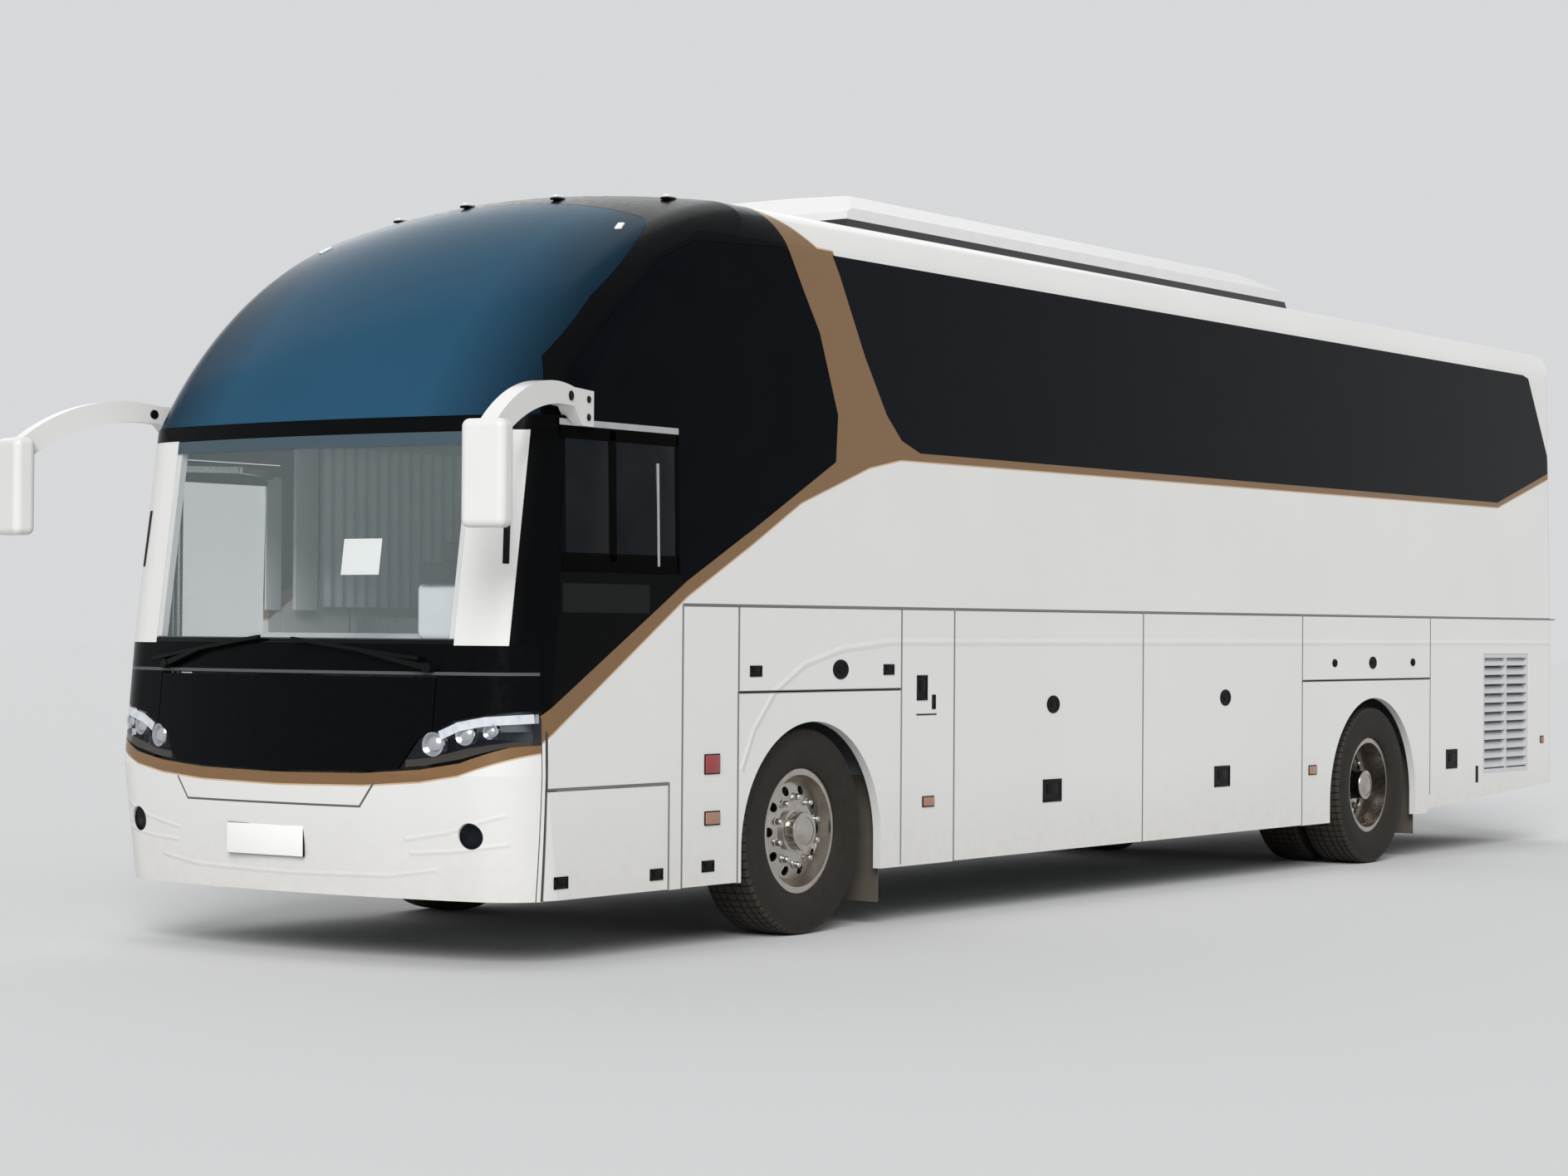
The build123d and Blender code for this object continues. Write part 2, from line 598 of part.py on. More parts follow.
def rear_panel():
    region = box(TAIL_X - 100, TAIL_SEAM_X - JOIN_GAP, -CLEAR_Y, CLEAR_Y, REAR_BUMPER_TOP_Z + JOIN_GAP,
                 ROOF_LOW_Z - JOIN_GAP)
    panel = SKIN & region
    half, low, high = REAR_WINDOW
    panel -= REBATE & rear_cut(half + 2, low - 2, high + 2)
    panel -= rear_cut(half - GLASS_FLANGE, low + GLASS_FLANGE, high - GLASS_FLANGE)
    half, low, high = ENGINE_LID
    panel -= rear_cut(half + SHUT_GAP, low - SHUT_GAP, high)
    y0, y1, z0, z1 = TAIL_LAMP
    for lamp in both_sides(box(TAIL_X - 100, TAIL_X + 200, y0 - SEAT_GAP, y1 + SEAT_GAP, z0 - SEAT_GAP,
                               z1 + SEAT_GAP)):
        panel -= REBATE_DEEP & lamp
    x = TAIL_X + BEAD_INSET
    return panel + cylinder(BEAD, (x, -half, high), (x, half, high))


REBATE_DEEP = OUTER - form(30 + SEAT_GAP)
PARTS["rear_panel"] = rear_panel()
PARTS["rear_window"] = GLAZING & rear_cut(*REAR_WINDOW)
PARTS["engine_lid"] = SKIN & rear_cut(ENGINE_LID[0], ENGINE_LID[1], ENGINE_LID[2] - BEAD - RUNNING_GAP)
PARTS["rear_bumper"] = (SKIN & box(TAIL_X - 100, TAIL_SEAM_X - JOIN_GAP, -CLEAR_Y, CLEAR_Y, 150,
                                   REAR_BUMPER_TOP_Z)) - BODY_BOTTOM
y0, y1, z0, z1 = TAIL_LAMP
PARTS["tail_lamps"] = both_sides((OUTER - form(30)) & box(TAIL_X - 100, TAIL_X + 200, y0, y1, z0, z1))

# Entry door on the right, carried parallel on two goosenecked arms

DOOR_POST = (1900, 95 - HALF_WIDTH)
DOOR_PIN = (1305, 95 - HALF_WIDTH)
DOOR_SWING = 125
ARM_OUT = (-20, -300)
ARM_HEIGHTS = (800, 2262)
ARM_THICK = 30
ARM_WIDTH = 40
POST_RADIUS = 22
EYE_RADIUS = 26
CLEVIS_PLATE = 12
DOOR_PIN_RADIUS = 12


def entry_door():
    panel = SKIN & side_slab(oblong(*ENTRY_DOOR), -1)
    panel = glaze(panel, oblong(*DOOR_GLASS), lambda p: side_slab(p, -1))
    x, y = DOOR_PIN
    for z in ARM_HEIGHTS:
        above = z + ARM_THICK / 2 + RUNNING_GAP
        below = z - ARM_THICK / 2 - RUNNING_GAP - CLEVIS_PLATE
        for low in (above, below):
            panel += box(x - EYE_RADIUS, x + EYE_RADIUS, y + EYE_RADIUS, -HALF_WIDTH + WALL - 3, low,
                         low + CLEVIS_PLATE)
        panel += cylinder(DOOR_PIN_RADIUS, (x, y, below + 1), (x, y, above + CLEVIS_PLATE - 1))
    return panel


def door_arms():
    """Upright post with two arms, whose elbows pass outside the doorway's edge as the door opens."""
    post = cylinder(POST_RADIUS, (*DOOR_POST, STEP_HEIGHTS[0] + RUNNING_GAP), (*DOOR_POST, 2295))
    turn = math.radians(-DOOR_SWING)
    elbow = (DOOR_POST[0] + ARM_OUT[0] * math.cos(turn) - ARM_OUT[1] * math.sin(turn),
             DOOR_POST[1] + ARM_OUT[0] * math.sin(turn) + ARM_OUT[1] * math.cos(turn))
    for z in ARM_HEIGHTS:
        low, high = z - ARM_THICK / 2, z + ARM_THICK / 2
        for start, end in ((DOOR_POST, elbow), (elbow, DOOR_PIN)):
            run = math.hypot(end[0] - start[0], end[1] - start[1])
            angle = math.degrees(math.atan2(end[1] - start[1], end[0] - start[0]))
            post += Pos(*start, z) * Rot(0, 0, angle) * Pos(run / 2, 0, 0) * Box(run, ARM_WIDTH, ARM_THICK)
        post += cylinder(EYE_RADIUS, (*elbow, low), (*elbow, high))
        post += cylinder(EYE_RADIUS, (*DOOR_PIN, low), (*DOOR_PIN, high))
        post -= cylinder(DOOR_PIN_RADIUS + RUNNING_GAP, (*DOOR_PIN, low - 5), (*DOOR_PIN, high + 5))
    return post


PARTS["entry_door"] = entry_door()
PARTS["entry_door_glass"] = GLAZING & side_slab(oblong(*DOOR_GLASS), -1)
PARTS["door_arms"] = door_arms()

# Roof unit and mirrors

AC_FRONT_X = -800
AC_REAR_X = -5900
AC_HALF = 900
AC_TOP_Z = 3815


def roof_unit():
    profile = ((AC_FRONT_X, 3560), (AC_FRONT_X - 40, 3680), (AC_FRONT_X - 330, AC_TOP_Z),
               (AC_REAR_X + 420, AC_TOP_Z), (AC_REAR_X + 60, 3720), (AC_REAR_X, 3560))
    cross = ((-AC_HALF, 3560), (-AC_HALF + 20, 3700), (-AC_HALF + 190, 3800), (0, 3830), (AC_HALF - 190, 3800),
             (AC_HALF - 20, 3700), (AC_HALF, 3560))
    unit = slab_xz(profile, -AC_HALF, AC_HALF) & slab_yz(cross, AC_REAR_X, AC_FRONT_X)
    return unit - form(-SEAT_GAP)


def mirror(side):
    """Swept arm in an upright plane from the pillar to the head that hangs ahead of the body's corner."""
    root = (1760, HALF_WIDTH_TOP)
    angle = math.degrees(math.atan2(215, 920))
    arm = Wire([
        Edge.make_line(Vector(0, 0, 2400), Vector(0, 0, 2560)),
        Edge.make_line(Vector(0, 0, 2560), Vector(200, 0, 2565)),
        Edge.make_three_point_arc(Vector(200, 0, 2565), Vector(640, 0, 2540), Vector(1000, 0, 2330)),
        Edge.make_line(Vector(1000, 0, 2330), Vector(900, 0, 2290)),
        Edge.make_three_point_arc(Vector(900, 0, 2290), Vector(560, 0, 2450), Vector(200, 0, 2480)),
        Edge.make_line(Vector(200, 0, 2480), Vector(120, 0, 2400)),
        Edge.make_line(Vector(120, 0, 2400), Vector(0, 0, 2400))])
    shape = Solid.extrude(Face(arm), Vector(0, 80, 0)).moved(Pos(0, -40, 0))
    head = Pos(955, 0, 2150) * Box(110, 210, 460)
    head = fillet(head.edges(), 35)
    shape = Pos(root[0], root[1], 0) * Rot(0, 0, angle) * (shape + head)
    shape -= form(-SEAT_GAP)
    return shape if side > 0 else shape.mirror(Plane.XZ)


PARTS["roof_unit"] = roof_unit()
PARTS["mirrors"] = [mirror(1), mirror(-1)]

# Floors, bulkheads and wheel housings


def wheel_housing(x0, x1, inner, side):
    outer = HALF_WIDTH - WALL - DECK_CLEARANCE
    shell = box(x0, x1, side * inner, side * outer, HOUSING_TOP_Z - SHEET, HOUSING_TOP_Z)
    shell += box(x0, x1, side * inner, side * (inner + 20), 850, HOUSING_TOP_Z)
    for x in (x0, x1 - SHEET):
        shell += box(x, x + SHEET, side * inner, side * outer, BAY_FLOOR_Z - 40, HOUSING_TOP_Z)
    return shell


def stepwell():
    rear, front, edges = STEPWELL
    steps = None
    for y0, y1, z, rise in zip(edges, edges[1:], STEP_HEIGHTS, STEP_HEIGHTS[1:] + (PLATFORM_Z,)):
        tread = box(rear, front, y0, y1, z - SHEET, z) + box(rear, front, y1 - SHEET, y1, z - SHEET, rise)
        steps = tread if steps is None else steps + tread
    for x in (rear, front - SHEET):
        steps += box(x, x + SHEET, edges[0], edges[-1], STEP_HEIGHTS[0] - SHEET, PLATFORM_Z)
    return steps


def deck():
    free = HALF_WIDTH - WALL - DECK_CLEARANCE
    wall = HALF_WIDTH
    under = PLATFORM_Z - 40
    rear, front = LUGGAGE_DOORS[1][0], LUGGAGE_DOORS[0][1]
    floor = box(TAIL_X + 420, RISER_X, -free, free, DECK_Z - DECK_THICK, DECK_Z)
    floor += box(TAIL_X + 420, REAR_WHEEL_HATCH[0] - 40, -wall, wall, DECK_Z - DECK_THICK, DECK_Z)
    floor += box(RISER_X - SHEET, RISER_X, -free, free, under, DECK_Z)
    floor += box(RISER_X - SHEET, PLATFORM_FRONT_X, CAB_RIGHT_Y, free, under, PLATFORM_Z)
    floor += box(SERVICE_FLAP[1] + 20, PLATFORM_FRONT_X, 0, wall, under, PLATFORM_Z)
    floor += box(RISER_X - SHEET, ENTRY_DOOR[0] - 20, -free, CAB_RIGHT_Y, under, PLATFORM_Z)
    floor += box(700, ENTRY_DOOR[0] - 20, -wall, -800, under, PLATFORM_Z)
    floor += stepwell()
    floor += box(rear - 18, front + 23, -free, free, BAY_FLOOR_Z - 40, BAY_FLOOR_Z)
    for x in (front - 7, (LUGGAGE_DOORS[0][0] + LUGGAGE_DOORS[1][1]) / 2 - 15, rear - 18):
        floor += box(x, x + SHEET, -free, free, BAY_FLOOR_Z - 40, DECK_Z - 20)
    floor += box(-7180, -7150, -free, free, 450, DECK_Z - 20)
    for side in (1, -1):
        floor += wheel_housing(-HOUSING_HALF - SHEET, HOUSING_HALF + SHEET - 55, 540, side)
        floor += wheel_housing(-7180, rear + 12, 580, side)
        floor += box(-HOUSING_HALF - SHEET, -HOUSING_HALF, side * 500, side * free,
                     HOUSING_TOP_Z - 20, DECK_Z - 20)
        floor -= box(-7200, -7100, side * (RAIL_Y - RAIL_WIDTH / 2 - SEAT_GAP),
                     side * (RAIL_Y + RAIL_WIDTH / 2 + SEAT_GAP), RAIL_LOW_Z - SEAT_GAP, RAIL_HIGH_Z + SEAT_GAP)
    floor -= cylinder(95, (-7250, 0, 552), (-7100, 0, 552))
    return floor & form(WALL + SEAT_GAP)


PARTS["deck"] = deck()

# Underframe with its jacking pads


def underframe():
    frame = None
    spans = ((-1270, 2180), (TAIL_X + 120, -5385))
    for rear, front in spans:
        for side in (1, -1):
            y0, y1 = side * (RAIL_Y - RAIL_WIDTH / 2), side * (RAIL_Y + RAIL_WIDTH / 2)
            rail = box(rear, front, y0, y1, RAIL_LOW_Z, RAIL_HIGH_Z)
            frame = rail if frame is None else frame + rail
    cross = (-1270, -850, 760, 1500, 2100, -5465, -5850, -7120, TAIL_X + 120)
    for x in cross:
        frame += box(x, x + 80, -RAIL_Y, RAIL_Y, RAIL_LOW_Z + 10, RAIL_HIGH_Z - 10)
    for y in (-1000, -RAIL_Y, RAIL_Y, 1000):
        frame += box(-5465, -1190, y - 40, y + 40, 305, BAY_FLOOR_Z - 40)
    for x in (-5465, -1270):
        frame += box(x, x + 80, -1040, 1040, 305, BAY_FLOOR_Z - 40)
        for side in (1, -1):
            frame += box(x, x + 80, side * (RAIL_Y - 40), side * (RAIL_Y + 40), 305, RAIL_HIGH_Z)
    for x, top in ((760, PLATFORM_Z - 40), (TAIL_X + 450, DECK_Z - DECK_THICK)):
        for side in (1, -1):
            frame += box(x, x + 80, side * (RAIL_Y - 40), side * (RAIL_Y + 40), RAIL_LOW_Z, top)
    rear, front, edges = STEPWELL
    return frame - box(rear - SEAT_GAP, front + SEAT_GAP, edges[0], edges[-1] + SEAT_GAP, 350, PLATFORM_Z)


PARTS["underframe"] = underframe()
BAY_HALF = RAIL_Y - RAIL_WIDTH / 2 - SEAT_GAP
PARTS["engine"] = (box(-9250, -7850, -BAY_HALF, BAY_HALF, 480, 1330)
                   + box(-7850, -7230, -230, 230, 480, 940)
                   + cylinder(55, (-7231, 0, 560), (-WHEELBASE - 230, 0, 530)))

# Cab: dashboard with its wheel, and the seats


def dashboard():
    outline = ((2320, PLATFORM_Z), (1760, PLATFORM_Z), (1660, 1240), (1700, 1400), (1820, 1470), (2000, 1440),
               (2320, 1410))
    board = slab_xz(outline, DASH_RIGHT_Y, HALF_WIDTH - 95) & form(WALL + LAMP_DEPTH + 8)
    return board - box(1500, 2400, DASH_RIGHT_Y - 10, CAB_RIGHT_Y, 1000, 1250)


def steering_wheel():
    column = cylinder(38, (1790, 640, 1430), (1586, 640, 1655))
    centre = Plane(origin=(1580, 640, 1662), z_dir=(-190, 0, 210))
    ring = Solid.make_torus(225, 17, centre)
    ring += centre * Box(430, 40, 14)
    ring += centre * Cylinder(60, 40)
    return (ring + column) - PARTS["dashboard"]


def seat(x, y0, y1, floor):
    outline = ((x, floor), (x, floor + 300), (x + 60, floor + 450), (x - 430 + 40, floor + 420),
               (x - 560, floor + 1130), (x - 640, floor + 1130), (x - 520, floor + 380), (x - 420, floor + 300),
               (x - 400, floor))
    return slab_xz(outline, y0, y1)


seats = [seat(1340, 400, 880, PLATFORM_Z)]
for row in range(SEAT_ROWS):
    x = FIRST_ROW_X - row * SEAT_PITCH
    seats += both_sides(seat(x, SEAT_INNER_Y, SEAT_OUTER_Y, DECK_Z))

PARTS["dashboard"] = dashboard()
PARTS["steering_wheel"] = steering_wheel()
PARTS["seats"] = seats

# Wheels


def revolved(points, y_centre, side):
    """A ring turned about the wheel's axle. Points are (radius, distance outboard of the wheel's centre)."""
    wire = Wire.make_polygon([Vector(0, side * (y_centre + y), TYRE_RADIUS + r) for r, y in points], close=True)
    return Solid.revolve(Face(wire), 360, Axis((0, 0, TYRE_RADIUS), (0, 1, 0)))


def tyre(y_centre, side):
    half = TYRE_WIDTH / 2
    seat_half = RIM_HALF - FLANGE_THICK - 1
    profile = ((BEAD_RADIUS + SEAT_GAP, -seat_half), (FLANGE_RADIUS + 2, -seat_half),
               (FLANGE_RADIUS + 8, -half + 22), (405, -half), (TYRE_RADIUS - 40, -half + 5),
               (TYRE_RADIUS, -half + 35), (TYRE_RADIUS, half - 35), (TYRE_RADIUS - 40, half - 5),
               (405, half), (FLANGE_RADIUS + 8, half - 22), (FLANGE_RADIUS + 2, seat_half),
               (BEAD_RADIUS + SEAT_GAP, seat_half))
    return revolved(profile, y_centre, side)


def barrel(y_centre, side):
    inner = BEAD_RADIUS - 14
    return revolved(((FLANGE_RADIUS, -RIM_HALF), (FLANGE_RADIUS, -RIM_HALF + FLANGE_THICK),
                     (BEAD_RADIUS, -RIM_HALF + FLANGE_THICK), (BEAD_RADIUS, RIM_HALF - FLANGE_THICK),
                     (FLANGE_RADIUS, RIM_HALF - FLANGE_THICK), (FLANGE_RADIUS, RIM_HALF), (inner, RIM_HALF),
                     (inner, -RIM_HALF)), y_centre, side)


def rim(y_centre, side, dish, hub_reach):
    """Steel rim: barrel with flanges, dished disc with a ring of hand holes, and a hub."""
    disc = revolved(((SPINDLE_RADIUS + RUNNING_GAP, dish - 14), (150, dish - 14), (235, dish - 40),
                     (BEAD_RADIUS - 10, dish - 60), (BEAD_RADIUS - 10, dish - 46), (238, dish - 26), (152, dish),
                     (SPINDLE_RADIUS + RUNNING_GAP, dish)), y_centre, side)
    hub = revolved(((SPINDLE_RADIUS + RUNNING_GAP, dish - 60), (130, dish - 60), (130, dish - 10), (95, dish + 5),
                    (88, dish + hub_reach), (0, dish + hub_reach), (0, dish + hub_reach - 15),
                    (SPINDLE_RADIUS + RUNNING_GAP, dish + hub_reach - 15)), y_centre, side)
    wheel = barrel(y_centre, side) + disc + hub
    for number in range(HAND_HOLES):
        angle = 2 * math.pi * number / HAND_HOLES
        x, z = 205 * math.cos(angle), TYRE_RADIUS + 205 * math.sin(angle)
        wheel -= cylinder(24, (x, side * (y_centre + dish - 80), z), (x, side * (y_centre + dish + 20), z))
    return wheel


FRONT_DISH = 88
REAR_DISH = -20
HUB_REACH = 52
for side, word in ((1, "left"), (-1, "right")):
    PARTS["tyre_front_" + word] = tyre(FRONT_TYRE_Y, side)
    PARTS["rim_front_" + word] = rim(FRONT_TYRE_Y, side, FRONT_DISH, HUB_REACH)
    rear = Pos(-WHEELBASE, 0, 0)
    PARTS["tyres_rear_" + word] = [rear * tyre(y, side) for y in REAR_TYRE_YS]
    outer = rim(REAR_TYRE_YS[1], side, REAR_DISH, 110)
    inner_y = REAR_TYRE_YS[0]
    inner = barrel(inner_y, side)
    gap_end = REAR_TYRE_YS[1] - inner_y - RIM_HALF + 5
    spacer = revolved(((BEAD_RADIUS - 20, RIM_HALF - 20), (BEAD_RADIUS - 4, RIM_HALF - 20),
                       (BEAD_RADIUS - 4, gap_end), (BEAD_RADIUS - 20, gap_end)), inner_y, side)
    PARTS["rims_rear_" + word] = rear * (outer + inner + spacer)

# Front axle, steering knuckles and track rod


def front_axle():
    drop, bend, eye = KINGPIN_Y - 240, KINGPIN_Y - 70, KINGPIN_Y - 30
    beam = box(-45, 45, -drop - 10, drop + 10, 400, 500)
    for side in (1, -1):
        ramp = slab_yz(((side * drop, 400), (side * drop, 500), (side * bend, 560), (side * eye, 560),
                        (side * eye, 460), (side * bend, 460)), -45, 45)
        boss = cylinder(42, (0, side * KINGPIN_Y, 440), (0, side * KINGPIN_Y, 580))
        beam = beam + ramp + boss
        beam -= cylinder(KINGPIN_RADIUS + RUNNING_GAP, (0, side * KINGPIN_Y, 400), (0, side * KINGPIN_Y, 620))
        beam += cylinder(95, (0, side * RAIL_Y, 495), (0, side * RAIL_Y, RAIL_LOW_Z))
    return beam


def knuckle(side):
    y = side * KINGPIN_Y
    body = cylinder(KINGPIN_RADIUS, (0, y, 390), (0, y, 630))
    for low in (385, 585):
        body += cylinder(42, (0, y, low), (0, y, low + 50))
        body += box(-42, 42, y, y + side * 85, low, low + 50)
    body += box(-42, 42, y + side * 55, y + side * 85, 385, 635)
    body += cylinder(SPINDLE_RADIUS, (0, y + side * 80, TYRE_RADIUS),
                     (0, side * (FRONT_TYRE_Y + FRONT_DISH + HUB_REACH - 20), TYRE_RADIUS))
    x_arm, y_arm = TRACK_ARM
    body += box(x_arm, 0, y - 25, y + 25, 395, 425)
    body += cylinder(30, (x_arm, side * y_arm, 395), (x_arm, side * y_arm, 425))
    return body


def track_rod():
    x, y = TRACK_ARM
    rod = cylinder(20, (x, -y, 355), (x, y, 355))
    for side in (1, -1):
        rod += cylinder(30, (x, side * y, 330), (x, side * y, 380))
        rod += cylinder(12, (x, side * y, 370), (x, side * y, 395 - RUNNING_GAP))
    return rod


PARTS["front_axle"] = front_axle()
PARTS["knuckle_left"] = knuckle(1)
PARTS["knuckle_right"] = knuckle(-1)
PARTS["track_rod"] = track_rod()

# Rear axle


def rear_axle():
    end = REAR_TYRE_YS[1] + REAR_DISH + 70
    axle = cylinder(SPINDLE_RADIUS, (0, -end, TYRE_RADIUS), (0, end, TYRE_RADIUS))
    brake = REAR_TYRE_YS[0] - TYRE_WIDTH / 2 - 30
    axle += cylinder(85, (0, -brake - 15, TYRE_RADIUS), (0, brake + 15, TYRE_RADIUS))
    axle += Pos(0, 0, TYRE_RADIUS) * Sphere(215)
    for side in (1, -1):
        axle += cylinder(105, (0, side * RAIL_Y, TYRE_RADIUS + 40), (0, side * RAIL_Y, RAIL_LOW_Z))
        axle += cylinder(190, (0, side * brake, TYRE_RADIUS), (0, side * (brake + 55), TYRE_RADIUS))
    return Pos(-WHEELBASE, 0, 0) * axle


PARTS["rear_axle"] = rear_axle()

# Mud flaps and wipers

wide = HALF_WIDTH - WALL - DECK_CLEARANCE
PARTS["mud_flaps"] = (both_sides(box(-HOUSING_HALF, -HOUSING_HALF + 10, KINGPIN_Y, wide, 120, 760))
                      + both_sides(box(-7150, -7140, REAR_TYRE_YS[0] - 120, wide, 160, 760)))

WIPERS = (
    # pivot y and z, then the blade's low end and its high end, each as y and z
    (-800, 1322, (-900, 1345), (-150, 1452)),
    (830, 1322, (780, 1362), (60, 1445)),
)
wiper_shell = nose(-40) - nose(-18)
boss_shell = nose(-44) - nose(-SEAT_GAP)


def wiper(pivot_y, pivot_z, low, high):
    """Arm with its blade, and the boss at its pivot."""
    arm_y, arm_z = (low[0] + high[0]) / 2, (low[1] + high[1]) / 2
    blade = slab_yz(((low[0], low[1] - 8), (high[0], high[1] - 8), (high[0], high[1] + 8),
                     (low[0], low[1] + 8)), 2200, 2700)
    arm = slab_yz(((pivot_y, pivot_z - 14), (arm_y, arm_z - 6), (arm_y, arm_z + 6), (pivot_y, pivot_z + 14)),
                  2200, 2700)
    pivot = cylinder(22, (2300, pivot_y, pivot_z), (AHEAD_X, pivot_y, pivot_z))
    return [(wiper_shell & (blade + arm)) - pivot, boss_shell & pivot]


PARTS["wipers"] = wiper(*WIPERS[0]) + wiper(*WIPERS[1])

os.makedirs("parts", exist_ok=True)
for name, shape in PARTS.items():
    solids = []
    for piece in (shape if isinstance(shape, list) else [shape]):
        solids += list(piece.solids())
    placed = [solid.moved(Location((-CENTRE_X, 0, 0))) for solid in solids]
    export_step(Compound(children=placed) if len(placed) > 1 else placed[0], f"parts/{name}.step")
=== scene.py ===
"""Finishes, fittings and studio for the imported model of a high-deck touring coach.

Metres throughout: x runs forward, y to the coach's left, z up, and the wheels stand on z = 0.
Places on the body are given from the front axle, as (x, z), and AXLE_X moves them into the frame.
"""
import math

import bmesh
import bpy
from mathutils import Matrix, Vector


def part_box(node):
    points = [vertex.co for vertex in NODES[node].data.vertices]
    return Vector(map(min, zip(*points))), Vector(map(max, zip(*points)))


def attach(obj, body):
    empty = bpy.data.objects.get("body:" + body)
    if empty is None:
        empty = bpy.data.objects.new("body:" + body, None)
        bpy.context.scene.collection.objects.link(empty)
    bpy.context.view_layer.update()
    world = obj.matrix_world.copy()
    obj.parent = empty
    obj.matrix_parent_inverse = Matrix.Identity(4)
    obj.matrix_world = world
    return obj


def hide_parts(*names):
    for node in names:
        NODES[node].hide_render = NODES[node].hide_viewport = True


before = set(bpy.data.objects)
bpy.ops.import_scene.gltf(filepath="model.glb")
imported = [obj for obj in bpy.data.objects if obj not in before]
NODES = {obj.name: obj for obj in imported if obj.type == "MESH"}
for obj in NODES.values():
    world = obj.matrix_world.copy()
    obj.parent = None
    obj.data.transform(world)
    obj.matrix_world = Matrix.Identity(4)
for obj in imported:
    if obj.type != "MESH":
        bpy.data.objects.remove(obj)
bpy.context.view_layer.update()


def middle(node):
    """Centre of a CAD node's box."""
    low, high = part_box(node)
    return (low + high) / 2


# Driving dimensions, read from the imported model
AXLE_X = middle("rim_front_left").x
REAR_AXLE_X = middle("rims_rear_left").x
HUB_Z = middle("rim_front_left").z
SIDE_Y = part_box("luggage_door_left_1")[1].y
TYRE_RADIUS = HUB_Z
TYRE_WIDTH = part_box("tyre_front_left")[1].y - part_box("tyre_front_left")[0].y
TWIN_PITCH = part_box("tyres_rear_left")[1].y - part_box("tyres_rear_left")[0].y - TYRE_WIDTH

# Shared sizes of the fittings
PROUD = 0.003
SIDES = (("left", 1), ("right", -1))


# Colour and node helpers


def linear(code):
    """Linear RGBA of an sRGB hex colour."""
    channels = [int(code[start:start + 2], 16) / 255 for start in (0, 2, 4)]
    curve = [c / 12.92 if c <= 0.04045 else ((c + 0.055) / 1.055) ** 2.4 for c in channels]
    return (*curve, 1.0)


def per_metre(millimetres):
    """Scale of a pattern whose grain is that many millimetres."""
    return 1000 / millimetres


def feed(tree, node, inputs):
    """Feeds a node's inputs with sockets, numbers or hex colours."""
    for name, value in inputs.items():
        if isinstance(value, bpy.types.NodeSocket):
            tree.links.new(value, node.inputs[name])
        else:
            node.inputs[name].default_value = linear(value) if isinstance(value, str) else value


def add(tree, kind, inputs=None, out=0, **settings):
    """Adds a node with its settings and links, and returns one of its outputs, or the node itself."""
    made = tree.nodes.new("ShaderNode" + kind)
    for name, value in settings.items():
        setattr(made, name, value)
    feed(tree, made, inputs or {})
    return made if out is None else made.outputs[out]


def calc(tree, operation, *values):
    """Arithmetic on one to three sockets or numbers."""
    return add(tree, "Math", dict(enumerate(values)), operation=operation)


def over(tree, level, value):
    """Where a value, such as how far a point lies inside outlines, is over a level, as 1 or 0."""
    return calc(tree, "GREATER_THAN", value, level)


def mix(tree, share, under, on_top):
    """One colour over another by a share. A Mix node takes its colours at 6 and 7 and gives one at 2."""
    return add(tree, "Mix", {0: share, 6: under, 7: on_top}, out=2, data_type="RGBA")


def ramp(tree, value, low=0.0, high=1.0, first=0.0, last=1.0):
    """Carries a value between low and high over to first and last, and holds it there beyond them."""
    return add(tree, "MapRange", {"Value": value, "From Min": low, "From Max": high, "To Min": first,
                                  "To Max": last})


def noise(tree, place, grain_mm, detail, roughness=0.5):
    """Cloudy noise whose grain is that many millimetres."""
    return add(tree, "TexNoise", {"Vector": place, "Scale": per_metre(grain_mm), "Detail": detail,
                                  "Roughness": roughness})


def raised(tree, height, distance, strength=1.0, **settings):
    """Bump from a height between 0 and 1 that stands for that distance."""
    return add(tree, "Bump", {"Height": height, "Distance": distance, "Strength": strength},
               **settings)


def reach(tree, across, up):
    """How far a point lies from an axis, by its two offsets."""
    place = add(tree, "CombineXYZ", {0: across, 1: up})
    return add(tree, "VectorMath", {0: place}, out="Value", operation="LENGTH")


def plane_of(tree, across, up):
    """The plane of drawn shapes, with a 1 between its axes for what each line adds."""
    return add(tree, "CombineXYZ", {0: across, 1: 1.0, 2: up})


def finish(name, constants):
    """A material with its shader's constants set, and its tree."""
    material = bpy.data.materials.new(name)
    material.use_nodes = True
    tree = material.node_tree
    feed(tree, tree.nodes["Principled BSDF"], constants)
    return material, tree


def dressed(material, colour, bump=None, rough=None, cover=None):
    """The material with its colour, and its bump, roughness and cover where they vary, on its shader."""
    tree = material.node_tree
    given = {"Base Color": colour, "Normal": bump, "Roughness": rough, "Alpha": cover}
    varied = {name: value for name, value in given.items() if value is not None}
    feed(tree, tree.nodes["Principled BSDF"], varied)
    return material


def axes(tree):
    """The x, y and z of a point on the piece, as three sockets and one vector."""
    place = add(tree, "TexCoord", out="Object")
    parts = add(tree, "SeparateXYZ", {0: place}, out=None)
    return parts.outputs[0], parts.outputs[1], parts.outputs[2], place


# Shapes drawn on the body by their own lines


